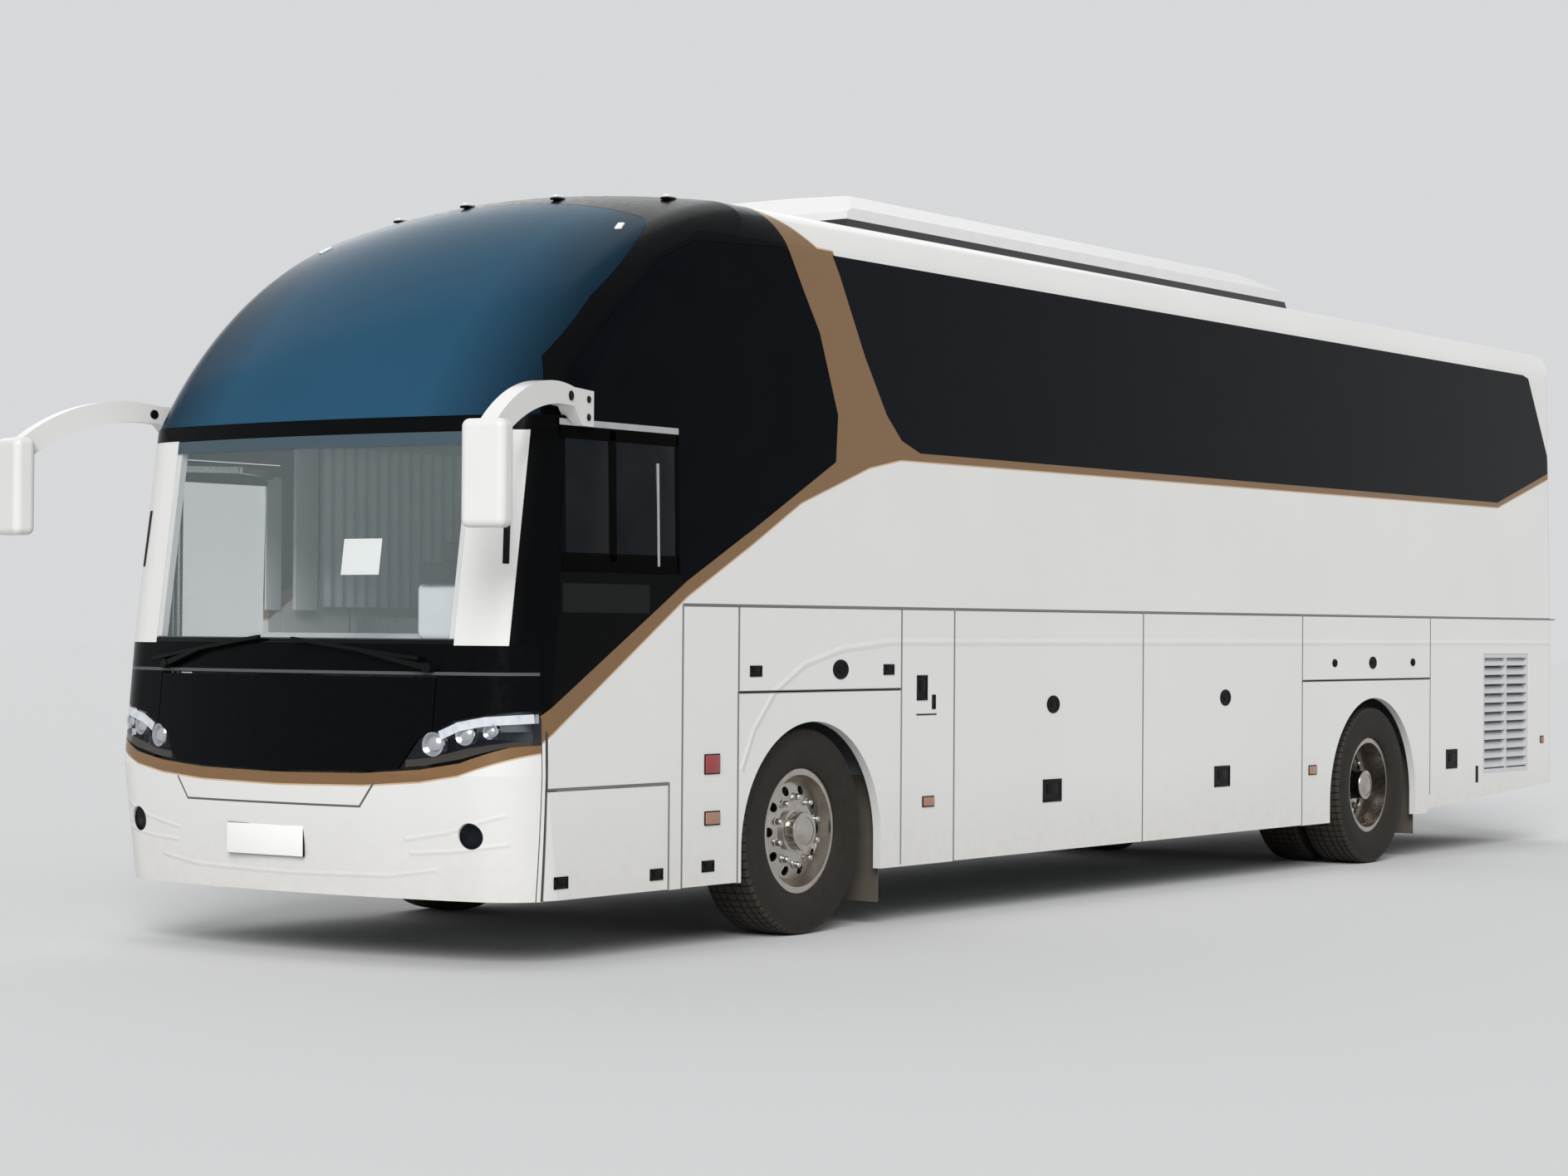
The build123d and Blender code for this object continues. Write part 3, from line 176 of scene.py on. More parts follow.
def drawn(tree, plane, outlines):
    """How far a point lies inside any of several convex outlines, in metres, below 0 outside them all."""
    whole = None
    for outline in outlines:
        points = [Vector(corner) for corner in outline]
        centre = sum(points, Vector((0, 0))) / len(points)
        nearest = None
        for start, end in zip(points, points[1:] + points[:1]):
            across = Vector((start.y - end.y, end.x - start.x)).normalized()
            if across.dot(centre - start) < 0:
                across.negate()
            line = (across.x, -across.dot(start), across.y)
            edge = add(tree, "VectorMath", {0: plane, 1: line}, out="Value", operation="DOT_PRODUCT")
            if nearest is not None:
                edge = calc(tree, "MINIMUM", nearest, edge)
            nearest = edge
        if whole is not None:
            nearest = calc(tree, "MAXIMUM", whole, nearest)
        whole = nearest
    return whole


def ribbon(points, half):
    """Four-cornered outlines, half metres to each side of a bent line."""
    outlines = []
    for start, end in zip(points, points[1:]):
        start, end = Vector(start), Vector(end)
        along = (end - start).normalized() * half * 0.5
        across = Vector((start.y - end.y, end.x - start.x)).normalized() * half
        outlines.append([start - along + across, end + along + across, end + along - across,
                         start - along - across])
    return outlines


def from_axle(outline):
    """An outline given from the front axle, moved into the frame."""
    return [(x + AXLE_X, z) for x, z in outline]


# Bronze sweep of the sides: down from the roof between the two glass areas, back under the saloon
# glass to the tail, and forward under the driver's window to the lamps. Its inner edges run under
# the glass.
BRONZE = [from_axle(outline) for outline in (
    ((0.22, 3.385), (-0.065, 2.965), (-0.472, 2.876), (-0.19, 3.38)),
    ((-0.065, 2.965), (-0.222, 2.568), (-0.665, 2.594), (-0.472, 2.876)),
    ((-0.222, 2.568), (-0.20, 2.335), (-1.02, 2.385), (-1.02, 2.46), (-0.70, 2.66)),
    ((-0.20, 2.335), (0.103, 2.19), (0.103, 2.122), (-0.256, 2.239)),
    ((-0.20, 2.335), (-0.256, 2.239), (-0.50, 2.320), (-0.50, 2.40)),
    ((-0.50, 2.40), (-0.50, 2.320), (-0.80, 2.374), (-0.80, 2.41)),
    ((0.103, 2.19), (0.517, 1.975), (0.517, 1.908), (0.103, 2.122)),
    ((0.517, 1.975), (1.042, 1.735), (1.042, 1.651), (0.517, 1.908)),
    ((1.042, 1.721), (2.10, 1.105), (2.10, 0.985), (1.042, 1.651)),
    ((-0.80, 2.372), (-0.80, 2.42), (-8.47, 2.435), (-8.47, 2.395)),
    ((-8.47, 2.435), (-9.50, 2.70), (-9.50, 2.66), (-8.47, 2.395)),
    ((0.205, 3.38), (0.30, 3.52), (0.29, 3.545), (0.12, 3.47), (-0.061, 3.38)),
)]
BLACK = [from_axle(outline) for outline in (
    ((0.22, 3.40), (2.2, 3.40), (2.2, 2.335), (-0.20, 2.335), (-0.222, 2.568), (-0.065, 2.965)),
    ((-0.20, 2.335), (0.517, 1.975), (1.042, 1.721), (1.042, 2.335)),
    ((1.042, 2.335), (1.042, 1.721), (2.1, 1.105), (2.2, 1.05), (2.2, 2.335)),
)]
# Grey pane under the driver's window
LOWER_PANE = from_axle(((1.326, 1.57), (1.955, 1.57), (1.955, 1.70), (1.326, 1.70)))
# Dark lines along the joints of the panels, sealant with painted shade in the gaps, as ends (x, z), (x, z)
# under their colour, first of both sides and then of the left side only. The cross joints are painted
# darker than the upright ones, as shade under the edges above them.
SEAM = 0.0075
SEAMS = {
    "6C6C6A": (((-9.50, 1.612), (-0.785, 1.612)), ((-7.30, 1.200), (-5.37, 1.200)),
               ((-0.785, 1.200), (0.627, 1.200))),
    "8E8E8C": (((-7.30, 0.42), (-7.30, 1.61)), ((-5.37, 0.30), (-5.37, 1.61)),
               ((-3.32, 0.30), (-3.32, 1.61)), ((-1.29, 0.30), (-1.29, 1.61)),
               ((-0.785, 0.31), (-0.785, 1.61)), ((0.627, 1.20), (0.627, 1.612))),
    "3E3E3E": (((2.088, 0.295), (2.088, 1.10)),),
}
LEFT_SEAMS = {
    "6C6C6A": (((-0.785, 1.612), (1.07, 1.612)), ((1.17, 0.786), (2.050, 0.786))),
    "8E8E8C": (((0.630, 0.30), (0.630, 1.20)), ((1.07, 0.30), (1.07, 1.61)),
               ((1.17, 0.30), (1.17, 0.786))),
    "3E3E3E": (((2.056, 0.30), (2.056, 1.04)),),
}
# Pressed line of the left and right sides, over the wheel arch and back to the tail
SWAGE = ((0.60, 0.83), (0.50, 1.02), (0.33, 1.20), (0.08, 1.33), (-0.25, 1.405), (-0.70, 1.44),
         (-9.45, 1.44))
SWAGE_HALF = 0.022
# Paint of the sides begins this far from the middle plane.
SIDE_FROM_Y = 1.02
# Reach of the pale keyline round the bronze, and of the bronze over the black
KEYLINE = 0.008
BRONZE_LAP = 0.0004
# Top edge of the bumper as (distance from the middle, height)
BUMPER_TOP = ((0.0, 0.842), (0.5, 0.850), (0.8, 0.872), (1.0, 0.905), (1.15, 0.960), (1.4, 1.050))
BUMPER_BAND = 0.052
TOW_COVER = ((-0.68, 0.80), (-0.62, 0.70), (0.47, 0.70), (0.56, 0.81))
TOW_LINE_HALF = 0.005
BUMPER_CREASES = (((0.70, 0.56), (0.93, 0.60), (1.18, 0.68)), ((0.72, 0.50), (0.95, 0.515), (1.18, 0.55)),
                  ((0.0, 0.385), (0.60, 0.395), (0.85, 0.43)))
CREASE_HALF = 0.014


def bronze_layers(tree, bronze):
    """Pale keyline and flaked bronze coat. A flake is under 0.1 mm, drawn at 6 mm so that it shows."""
    coat = mix(tree, noise(tree, axes(tree)[3], 6, 4, 0.8), "735537", "876743")
    return [(over(tree, -KEYLINE, bronze), "C8AE92"), (over(tree, -BRONZE_LAP, bronze), coat)]


def side_marks(tree, x, y, z):
    """Painted layers of the sides, in their order, the pressed line, and where the paint is black."""
    plane = plane_of(tree, x, z)
    on_left = over(tree, SIDE_FROM_Y, y)
    on_side = over(tree, SIDE_FROM_Y, calc(tree, "ABSOLUTE", y))
    layers = bronze_layers(tree, drawn(tree, plane, BRONZE))
    layers.append((over(tree, 0.0, drawn(tree, plane, BLACK)), "08090A"))
    layers = [(calc(tree, "MULTIPLY", mask, on_side), coat) for mask, coat in layers]
    dark = layers[-1][0]
    pane = over(tree, 0.0, drawn(tree, plane, [LOWER_PANE]))
    layers.append((calc(tree, "MULTIPLY", pane, on_left), "1D2120"))
    # Painted shade along the panel joints, darker on the cross joints
    for held, groups in ((on_side, SEAMS), (on_left, LEFT_SEAMS)):
        for seam_shade, seams in groups.items():
            outlines = [outline for seam in seams for outline in ribbon(from_axle(seam), SEAM)]
            lines = over(tree, 0.0, drawn(tree, plane, outlines))
            layers.append((calc(tree, "MULTIPLY", lines, held), seam_shade))
    return layers, drawn(tree, plane, ribbon(from_axle(SWAGE), SWAGE_HALF)), dark


def bumper_marks(tree, x, y, z):
    """Painted layers of the bumper, bronze top band and tow-cover line, and its creases."""
    outboard = calc(tree, "ABSOLUTE", y)
    edge = None
    for (y0, z0), (y1, z1) in zip(BUMPER_TOP, BUMPER_TOP[1:]):
        slope = (z1 - z0) / (y1 - y0)
        line = calc(tree, "MULTIPLY_ADD", outboard, slope, z0 - slope * y0)
        edge = line if edge is None else calc(tree, "MAXIMUM", edge, line)
    low_edge = calc(tree, "SUBTRACT", edge, BUMPER_BAND)
    layers = bronze_layers(tree, calc(tree, "SUBTRACT", z, low_edge))
    tow_line = drawn(tree, plane_of(tree, y, z), ribbon(TOW_COVER, TOW_LINE_HALF))
    layers.append((over(tree, 0.0, tow_line), "5A5A59"))
    creases = [outline for crease in BUMPER_CREASES for outline in ribbon(crease, CREASE_HALF)]
    return layers, drawn(tree, plane_of(tree, outboard, z), creases), None


def enamel(name, marks=None):
    """Two-pack enamel under clear lacquer: smooth and bright, with the slight waves of big sheet panels
    and a film of road dust low on the skirt. The bronze is a flaked metallic coat, the black is solid."""
    material, tree = finish(name, {"IOR": 1.5, "Coat Weight": 0.12, "Coat Roughness": 0.1,
                                   "Specular IOR Level": 0.3})
    x, y, z, place = axes(tree)
    colour = mix(tree, noise(tree, place, 900, 2), "DCDBD8", "E3E2E0")
    low = ramp(tree, z, 0.75, 0.30, 0.0, 0.35)
    specks = noise(tree, place, 60, 5)
    dust = calc(tree, "MULTIPLY", low, specks)
    colour = mix(tree, dust, colour, "B9B2A6")
    waves = noise(tree, place, 450, 1)
    height = calc(tree, "MULTIPLY", waves, 0.25)
    rough = ramp(tree, dust, 0.0, 0.3, 0.28, 0.5)
    if marks:
        layers, pressed, dark = marks(tree, x, y, z)
        if dark:
            level = ramp(tree, dark, first=0.3, last=0.03)
            lacquer = ramp(tree, dark, first=0.12, last=0.0)
            sheen = {"Specular IOR Level": level, "Coat Weight": lacquer}
            feed(tree, tree.nodes["Principled BSDF"], sheen)
        for mask, layer in layers:
            colour = mix(tree, mask, colour, layer)
        ridge = ramp(tree, pressed, 0.0, 0.02)
        height = calc(tree, "ADD", ridge, height)
    bump = raised(tree, height, 0.004)
    return dressed(material, colour, bump, rough)


# Painted highlight along the edge of the upper moulding, over the flap.
MOULDING_EDGE_Z = 1.296
MOULDING_EDGE_HALF = 0.007


def gloss_black():
    """Black moulded panels, lacquered: a deep, nearly mirror-less black from most sides, with faint dust
    in the lacquer and a painted highlight along the edge of the upper moulding."""
    material, tree = finish("gloss_black_lacquer", {"IOR": 1.5, "Specular IOR Level": 0.05})
    z, place = axes(tree)[2:]
    dust = noise(tree, place, 35, 6)
    colour = mix(tree, dust, "040506", "090A0C")
    # Painted highlight: a pale grey line along the moulding's edge
    line = calc(tree, "COMPARE", z, MOULDING_EDGE_Z, MOULDING_EDGE_HALF)
    colour = mix(tree, line, colour, "55585B")
    rough = ramp(tree, dust, 0.3, 0.8, 0.16, 0.3)
    waves = noise(tree, place, 300, 1)
    bump = raised(tree, waves, 0.001)
    return dressed(material, colour, bump, rough)


# Foot and head of the upper screen
DOME_Z = (2.44, 3.45)


def upper_screen_glass():
    """Laminated glass tinted blue, with a painted reflection of the sky in its colour: a little deeper
    towards its head, cloudy, and much darker towards the pillars.
    """
    material, tree = finish("blue_glass_painted_sky", {"IOR": 1.5, "Roughness": 0.16, "Alpha": 0.97,
                                                "Specular IOR Level": 0.02})
    y, z, place = axes(tree)[1:]
    # Painted reflection of the sky: a gradient up the screen, cloud, and darkening towards the pillars
    rise = ramp(tree, z, *DOME_Z)
    outboard = calc(tree, "ABSOLUTE", y)
    edge = ramp(tree, outboard, low=0.62, high=1.16, last=0.88)
    cloud = noise(tree, place, 700, 3)
    film = mix(tree, rise, "2C546F", "254B61")
    film = mix(tree, calc(tree, "MULTIPLY", cloud, 0.4), film, "1E4357")
    film = mix(tree, edge, film, "0C1721")
    return dressed(material, film)


def tinted_glass(name, colour, alpha, specular):
    """Toughened glass, tinted through: nearly black from outside, with soft reflections from its slight
    roller waves."""
    material, tree = finish(name, {"IOR": 1.5, "Alpha": alpha, "Specular IOR Level": specular})
    place = axes(tree)[3]
    film = noise(tree, place, 250, 4)
    tint = mix(tree, film, colour, "0C1116")
    rough = ramp(tree, film, 0.3, 0.7, 0.08, 0.13)
    waves = noise(tree, place, 500, 1)
    bump = raised(tree, waves, 0.0012)
    return dressed(material, tint, bump, rough)


def clear_glass(name, colour, alpha, shade=None):
    """Clear laminated glass: a pale green-grey film of the interlayer, see-through, and for a screen a
    painted reflection of the header along its head, darker and less clear, and a black band along its sill."""
    material, tree = finish(name, {"IOR": 1.5, "Roughness": 0.05, "Specular IOR Level": 0.15})
    z, place = axes(tree)[2:]
    tint = mix(tree, noise(tree, place, 400, 2), colour, "C3D0D2")
    cover = alpha
    if shade:
        foot, head = shade
        # Painted reflection of the header along the screen's head: a darker, less clear band
        band = over(tree, foot, z)
        sill = calc(tree, "LESS_THAN", z, head)
        tint = mix(tree, band, tint, "4C5E68")
        tint = mix(tree, sill, tint, "07080A")
        cover = ramp(tree, band, first=alpha, last=0.8)
        cover = calc(tree, "MAXIMUM", cover, sill)
    return dressed(material, tint, cover=cover)


# Bright strip along the head lamps' top and dark bezel along their foot, as (distance from the middle, z)
LAMP_BRIGHT = ((0.90, 1.028), (0.98, 1.064), (1.10, 1.088), (1.24, 1.100))
LAMP_FOOT = ((0.74, 0.892), (0.86, 0.905), (1.02, 0.945), (1.24, 0.985))
BRIGHT_HALF = 0.020
FOOT_HALF = 0.022


def lamp_cover():
    """Clear polycarbonate over the head lamps: see-through before the lights, with the bright bezel
    showing along its top and the dark one along its foot."""
    material, tree = finish("clear_lamp_cover", {"IOR": 1.58, "Roughness": 0.06,
                                                 "Specular IOR Level": 0.4})
    y, z, place = axes(tree)[1:]
    outboard = calc(tree, "ABSOLUTE", y)
    plane = plane_of(tree, outboard, z)
    bright = over(tree, 0.0, drawn(tree, plane, ribbon(LAMP_BRIGHT, BRIGHT_HALF)))
    foot = over(tree, 0.0, drawn(tree, plane, ribbon(LAMP_FOOT, FOOT_HALF)))
    silver = mix(tree, noise(tree, place, 28, 3), "C4CCD6", "F4F7FA")
    colour = mix(tree, bright, "1A2434", silver)
    colour = mix(tree, foot, colour, "3A3531")
    zones = calc(tree, "MAXIMUM", bright, foot)
    cover = ramp(tree, zones, first=0.2, last=0.82)
    return dressed(material, colour, cover=cover)


def moulded(name, light, dark, grain_mm, roughness, depth=0.0004, **constants):
    """Moulded plastic or rubber: even colour with the mould's fine leather grain, so highlights spread."""
    material, tree = finish(name, {"IOR": 1.46, "Roughness": roughness, **constants})
    place = axes(tree)[3]
    colour = mix(tree, noise(tree, place, grain_mm * 30, 4), light, dark)
    pores = add(tree, "TexVoronoi", {"Vector": place, "Scale": per_metre(grain_mm)})
    bump = raised(tree, pores, depth, 0.6)
    return dressed(material, colour, bump)


# Four condenser fans in the roof unit, by their distance behind the front axle
FAN_XS = (-2.55, -3.25, -4.35, -5.05)
FAN_RADIUS = 0.27
UNIT_TOP_FROM_Z = 3.76
DARK_FOOT_TOP_Z = 3.638


def unit_moulding():
    """Glass-fibre moulding of the roof unit: white gelcoat, faintly rippled, with the slotted rings of
    four fan guards on top and a dark band along its foot."""
    material, tree = finish("white_gelcoat_moulding", {"IOR": 1.5, "Roughness": 0.4})
    x, y, z, place = axes(tree)
    colour = mix(tree, noise(tree, place, 120, 4), "D8D8D6", "E2E2E0")
    nearest = None
    for fan_x in FAN_XS:
        away = reach(tree, calc(tree, "SUBTRACT", x, fan_x + AXLE_X), y)
        nearest = away if nearest is None else calc(tree, "MINIMUM", nearest, away)
    # The guard's slots stand 24 mm apart.
    wave = calc(tree, "MULTIPLY", nearest, 2 * math.pi * per_metre(24))
    slots = over(tree, 0.0, calc(tree, "SINE", wave))
    guard = calc(tree, "LESS_THAN", nearest, FAN_RADIUS)
    slots = calc(tree, "MULTIPLY", calc(tree, "MULTIPLY", slots, guard), over(tree, UNIT_TOP_FROM_Z, z))
    # Dark band along the foot of the unit
    dark_foot = calc(tree, "LESS_THAN", z, DARK_FOOT_TOP_Z)
    dark = calc(tree, "MAXIMUM", slots, dark_foot)
    colour = mix(tree, dark, colour, "1E1F20")
    bump = raised(tree, slots, 0.004, invert=True)
    return dressed(material, colour, bump)


def bare_metal(name, light, dark, roughness, scratch_mm, dish=None, **constants):
    """Bare or polished metal: fine wiping scratches and a little tarnish in patches, and brake dust baked
    into a wheel's dish, given as its axle's x and its radius."""
    material, tree = finish(name, {"Metallic": 1.0, **constants})
    x, _, z, place = axes(tree)
    colour = mix(tree, noise(tree, place, 70, 5), light, dark)
    if dish:
        dish_x, dish_radius = dish
        away = reach(tree, calc(tree, "SUBTRACT", x, dish_x), calc(tree, "SUBTRACT", z, HUB_Z))
        dust = ramp(tree, away, dish_radius, dish_radius - 0.02)
        colour = mix(tree, dust, colour, "4A433C")
    scratch = noise(tree, place, scratch_mm, 4, 0.7)
    rough = ramp(tree, scratch, 0.3, 0.7, roughness, roughness + 0.12)
    bump = raised(tree, scratch, 0.0003, 0.5)
    return dressed(material, colour, bump, rough)


def chassis_paint(name, colour, roughness):
    """Brushed-on chassis paint over castings and sections: dull, pitted, with grey road dust."""
    material, tree = finish(name, {"IOR": 1.5, "Roughness": roughness, "Specular IOR Level": 0.3})
    place = axes(tree)[3]
    dust = noise(tree, place, 120, 6)
    spots = ramp(tree, dust, 0.45, 0.75)
    paint = mix(tree, spots, colour, "4B4741")
    pits = noise(tree, place, 5, 4)
    bump = raised(tree, pits, 0.0008)
    return dressed(material, paint, bump)


TREAD_DEPTH = 0.022


def tyre_rubber(name, centre_x):
    """Carbon-black rubber: dull, browned by dust on the wall, with sipes cut across the tread ribs and
    painted darker, as shade in the cuts.
    """
    material, tree = finish(name, {"IOR": 1.5, "Specular IOR Level": 0.25})
    x, _, z, place = axes(tree)
    across = calc(tree, "SUBTRACT", x, centre_x)
    up = calc(tree, "SUBTRACT", z, HUB_Z)
    radius = reach(tree, across, up)
    turn = calc(tree, "ARCTAN2", up, across)
    # Sipes stand 45 mm apart round the tread.
    sipe_count = round(2 * math.pi * TYRE_RADIUS * per_metre(45))
    wave = calc(tree, "MULTIPLY", turn, sipe_count)
    tooth = over(tree, 0.82, calc(tree, "SINE", wave))
    tread = over(tree, TYRE_RADIUS - TREAD_DEPTH, radius)
    sipes = calc(tree, "MULTIPLY", tooth, tread)
    dust = noise(tree, place, 55, 5)
    colour = mix(tree, dust, "191715", "332E28")
    worn = calc(tree, "MULTIPLY", tread, 0.4)
    colour = mix(tree, worn, colour, "4A443D")
    # Painted shade in the sipes
    colour = mix(tree, sipes, colour, "0E0D0C")
    rough = ramp(tree, dust, first=0.62, last=0.9)
    # The rubber's own grain is under 1 mm and is drawn at 3 mm.
    skin = noise(tree, place, 3, 3)
    fine = calc(tree, "MULTIPLY", skin, 0.15)
    relief = calc(tree, "SUBTRACT", fine, sipes)
    bump = raised(tree, relief, 0.004)
    return dressed(material, colour, bump, rough)


def moquette():
    """Woven seat moquette: short cut pile, blue-grey with a small lighter fleck, soft at grazing angles."""
    material, tree = finish("seat_moquette", {"Roughness": 0.92, "Sheen Weight": 0.4,
                                              "Sheen Roughness": 0.5, "Specular IOR Level": 0.1})
    place = axes(tree)[3]
    fleck = add(tree, "TexVoronoi", {"Vector": place, "Scale": per_metre(22)})
    spots = ramp(tree, fleck, 0.12, 0.22, 1.0, 0.0)
    colour = mix(tree, noise(tree, place, 180, 3), "2B3342", "343E50")
    colour = mix(tree, spots, colour, "7D8796")
    # The pile's tufts are 1.5 mm and are drawn at 6 mm.
    pile = noise(tree, place, 6, 2)
    bump = raised(tree, pile, 0.0012)
    return dressed(material, colour, bump)


def curtain_cloth():
    """Pleated polyester curtain: pale grey, matt, with a plain weave."""
    material, tree = finish("curtain_polyester", {"Roughness": 0.85, "Sheen Weight": 0.3,
                                                  "Specular IOR Level": 0.15})
    place = axes(tree)[3]
    colour = mix(tree, noise(tree, place, 150, 3), "E4ECEE", "ECF1F2")
    # Threads stand 0.5 mm apart and are drawn at 4 mm. A wave texture repeats every 0.314 / scale metres.
    weave = add(tree, "TexWave", {"Vector": place, "Scale": 0.314 * per_metre(4)})
    bump = raised(tree, weave, 0.0004)
    return dressed(material, colour, bump)


def floor_vinyl():
    """Grey vinyl on ply, worn along the walkways: a speckled, half-matt floor."""
    material, tree = finish("speckled_floor_vinyl", {"IOR": 1.5, "Roughness": 0.6})
    place = axes(tree)[3]
    chips = noise(tree, place, 8, 2)
    speckle = ramp(tree, chips, 0.5, 0.65)
    colour = mix(tree, noise(tree, place, 300, 3), "7B8082", "8D9294")
    colour = mix(tree, speckle, colour, "5C6163")
    bump = raised(tree, chips, 0.0004)
    return dressed(material, colour, bump)


def lamp_plastic(name, light, dark):
    """Polycarbonate lens: glossy outside, with upright prisms moulded inside that break up the light."""
    material, tree = finish(name, {"IOR": 1.58, "Roughness": 0.12, "Coat Weight": 0.2})
    x = axes(tree)[0]
    # Prisms stand 14 mm apart along the lens.
    wave = calc(tree, "MULTIPLY", x, 2 * math.pi * per_metre(14))
    ribs = ramp(tree, calc(tree, "SINE", wave), -1.0)
    colour = mix(tree, ribs, light, dark)
    bump = raised(tree, ribs, 0.0006, 0.5)
    return dressed(material, colour, bump)


# Bands of the tail lamp, as (foot, head, colour), over its red
TAIL_BANDS = ((0.96, 1.09, "C9C6C2"), (1.28, 1.42, "C4610F"))


def tail_lens():
    """Tail-lamp moulding in bands: clear reversing lens at the foot, red, amber for turning, red on top."""
    material, tree = finish("banded_tail_lens", {"IOR": 1.58, "Roughness": 0.12, "Coat Weight": 0.3})
    z, place = axes(tree)[2:]
    colour = "8E0F12"
    for low, high, band in TAIL_BANDS:
        mask = calc(tree, "COMPARE", z, (low + high) / 2, (high - low) / 2)
        colour = mix(tree, mask, colour, band)
    # Prisms of the lens are 2 mm and are drawn at 12 mm.
    prisms = add(tree, "TexVoronoi", {"Vector": place, "Scale": per_metre(12)})
    bump = raised(tree, prisms, 0.001, 0.6)
    return dressed(material, colour, bump)


# Finishes of the fittings

# Radius of a rear wheel's dish, and foot of the painted reflection band and head of the sill band of the
# screen
DISH_RADIUS = 0.262
SCREEN_BANDS = (2.315, 1.445)
PANE_GLASS = tinted_glass("grey_sliding_pane", "242628", 1.0, 0.03)
BLACK_PLASTIC = moulded("black_moulded_plastic", "08090A", "0F1011", 2, 0.45,
                        **{"Specular IOR Level": 0.12})
SOFT_BLACK = moulded("soft_black_vinyl", "0B0C0D", "131416", 3, 0.6, **{"Specular IOR Level": 0.15})
CHANNEL_BLACK = moulded("flocked_black_channel", "050506", "090909", 2, 0.8,
                        **{"Specular IOR Level": 0.03})
DASH_GREY = moulded("pale_dash_vinyl", "DDE3E5", "E8ECED", 3, 0.62)
SEAL_RUBBER = moulded("black_seal_rubber", "0D0D0E", "151515", 2, 0.7, **{"Specular IOR Level": 0.3})
WHEEL_METAL = bare_metal("polished_wheel_steel", "CBC6C0", "9C948B", 0.16, 9)
BRIGHT_STEEL = bare_metal("bright_steel_bar", "C9CACB", "B4B5B6", 0.22, 6)
CHROME = bare_metal("chromed_reflector", "E6E8EA", "D6D9DC", 0.06, 8)
MIRROR_SILVER = bare_metal("silvered_mirror_glass", "C9CED2", "BFC5CA", 0.03, 12)
PROJECTOR_GLASS = bare_metal("bright_projector_glass", "F6F8FA", "EDF0F4", 0.16, 10)
SEAT_CLOTH = moquette()
CURTAIN_CLOTH = curtain_cloth()
RED_LENS = lamp_plastic("red_lamp_lens", "7E1A1C", "A8383A")
AMBER_LENS = lamp_plastic("amber_lamp_lens", "8E664E", "AE8468")
SMOKE_LENS = lamp_plastic("pale_marker_lens", "D9D9D6", "F0F0EE")
FRONT_RUBBER = tyre_rubber("front_tyre_rubber", AXLE_X)
REAR_RUBBER = tyre_rubber("rear_tyre_rubber", REAR_AXLE_X)
LINING_WHITE = moulded("white_lining_board", "E8ECEC", "F1F4F4", 4, 0.5)
PLATE_WHITE = moulded("blank_plate_white", "ECECEA", "F2F2F0", 5, 0.35)

# Finish of each CAD node, where {} stands for left and right
NODE_FINISHES = (
    (enamel("striped_coach_enamel", side_marks),
     "side_{} roof entry_door service_flap front_locker_lid luggage_door_{}_1 luggage_door_{}_2 "
     "front_wheel_hatch_{} rear_wheel_hatch_{}"),
    (enamel("banded_bumper_enamel", bumper_marks), "front_bumper"),
    (enamel("white_coach_enamel"), "pillar_covers mirrors rear_panel rear_bumper engine_lid"),
    (gloss_black(), "front_cap front_fascia front_flap"),
    (upper_screen_glass(), "windscreen_upper"),
    (tinted_glass("black_cab_glass", "050608", 0.98, 0.02), "front_side_glass"),
    (tinted_glass("dark_saloon_glass", "060A0F", 0.98, 0.05), "saloon_glass"),
    (tinted_glass("dark_rear_glass", "0A0D10", 0.95, 0.08), "rear_window"),
    (clear_glass("clear_screen_glass", "BCCDD1", 0.10, shade=SCREEN_BANDS), "windscreen_lower"),
    (clear_glass("pale_door_glass", "B4C3C6", 0.22), "entry_door_glass"),
    (lamp_cover(), "head_lamps"),
    (tail_lens(), "tail_lamps"),
    (moulded("pale_grille_plastic", "BFC1C2", "CFD1D1", 2, 0.45), "side_grilles"),
    (DASH_GREY, "dashboard"),
    (SOFT_BLACK, "steering_wheel"),
    (BLACK_PLASTIC, "wipers"),
    (unit_moulding(), "roof_unit"),
    (chassis_paint("black_chassis_paint", "17181A", 0.6), "underframe"),
    (chassis_paint("grey_casting_paint", "26262A", 0.65),
     "engine front_axle rear_axle knuckle_{} track_rod"),
    (floor_vinyl(), "deck"),
    (WHEEL_METAL, "rim_front_{}"),
    (bare_metal("dusty_rear_wheel_steel", "CBC6C0", "9C948B", 0.2, 9, dish=(REAR_AXLE_X, DISH_RADIUS)),
     "rims_rear_{}"),
    (BRIGHT_STEEL, "door_arms"),
    (moulded("dusty_flap_rubber", "4A443E", "5E564D", 3, 0.8), "mud_flaps"),
    (SEAT_CLOTH, "seats"),
    (FRONT_RUBBER, "tyre_front_{}"),
    (REAR_RUBBER, "tyres_rear_{}"),
)
for material, patterns in NODE_FINISHES:
    for name in sorted({pattern.format(word) for pattern in patterns.split() for word, _ in SIDES}):
        mesh = NODES[name].data
        mesh.materials.clear()
        mesh.materials.append(material)


# Modelling helpers


def block(bm, centre, size, bevel=0.0, segments=2, turn=None):
    """A block with rounded edges."""
    place = Matrix.LocRotScale(Vector(centre), turn, Vector(size))
    made = bmesh.ops.create_cube(bm, size=1, matrix=place)
    if bevel:
        edges = list({edge for vert in made["verts"] for edge in vert.link_edges})
        bmesh.ops.bevel(bm, geom=edges, offset=bevel, offset_type="OFFSET", segments=segments,
                        profile=0.5, affect="EDGES", material=-1, clamp_overlap=True)


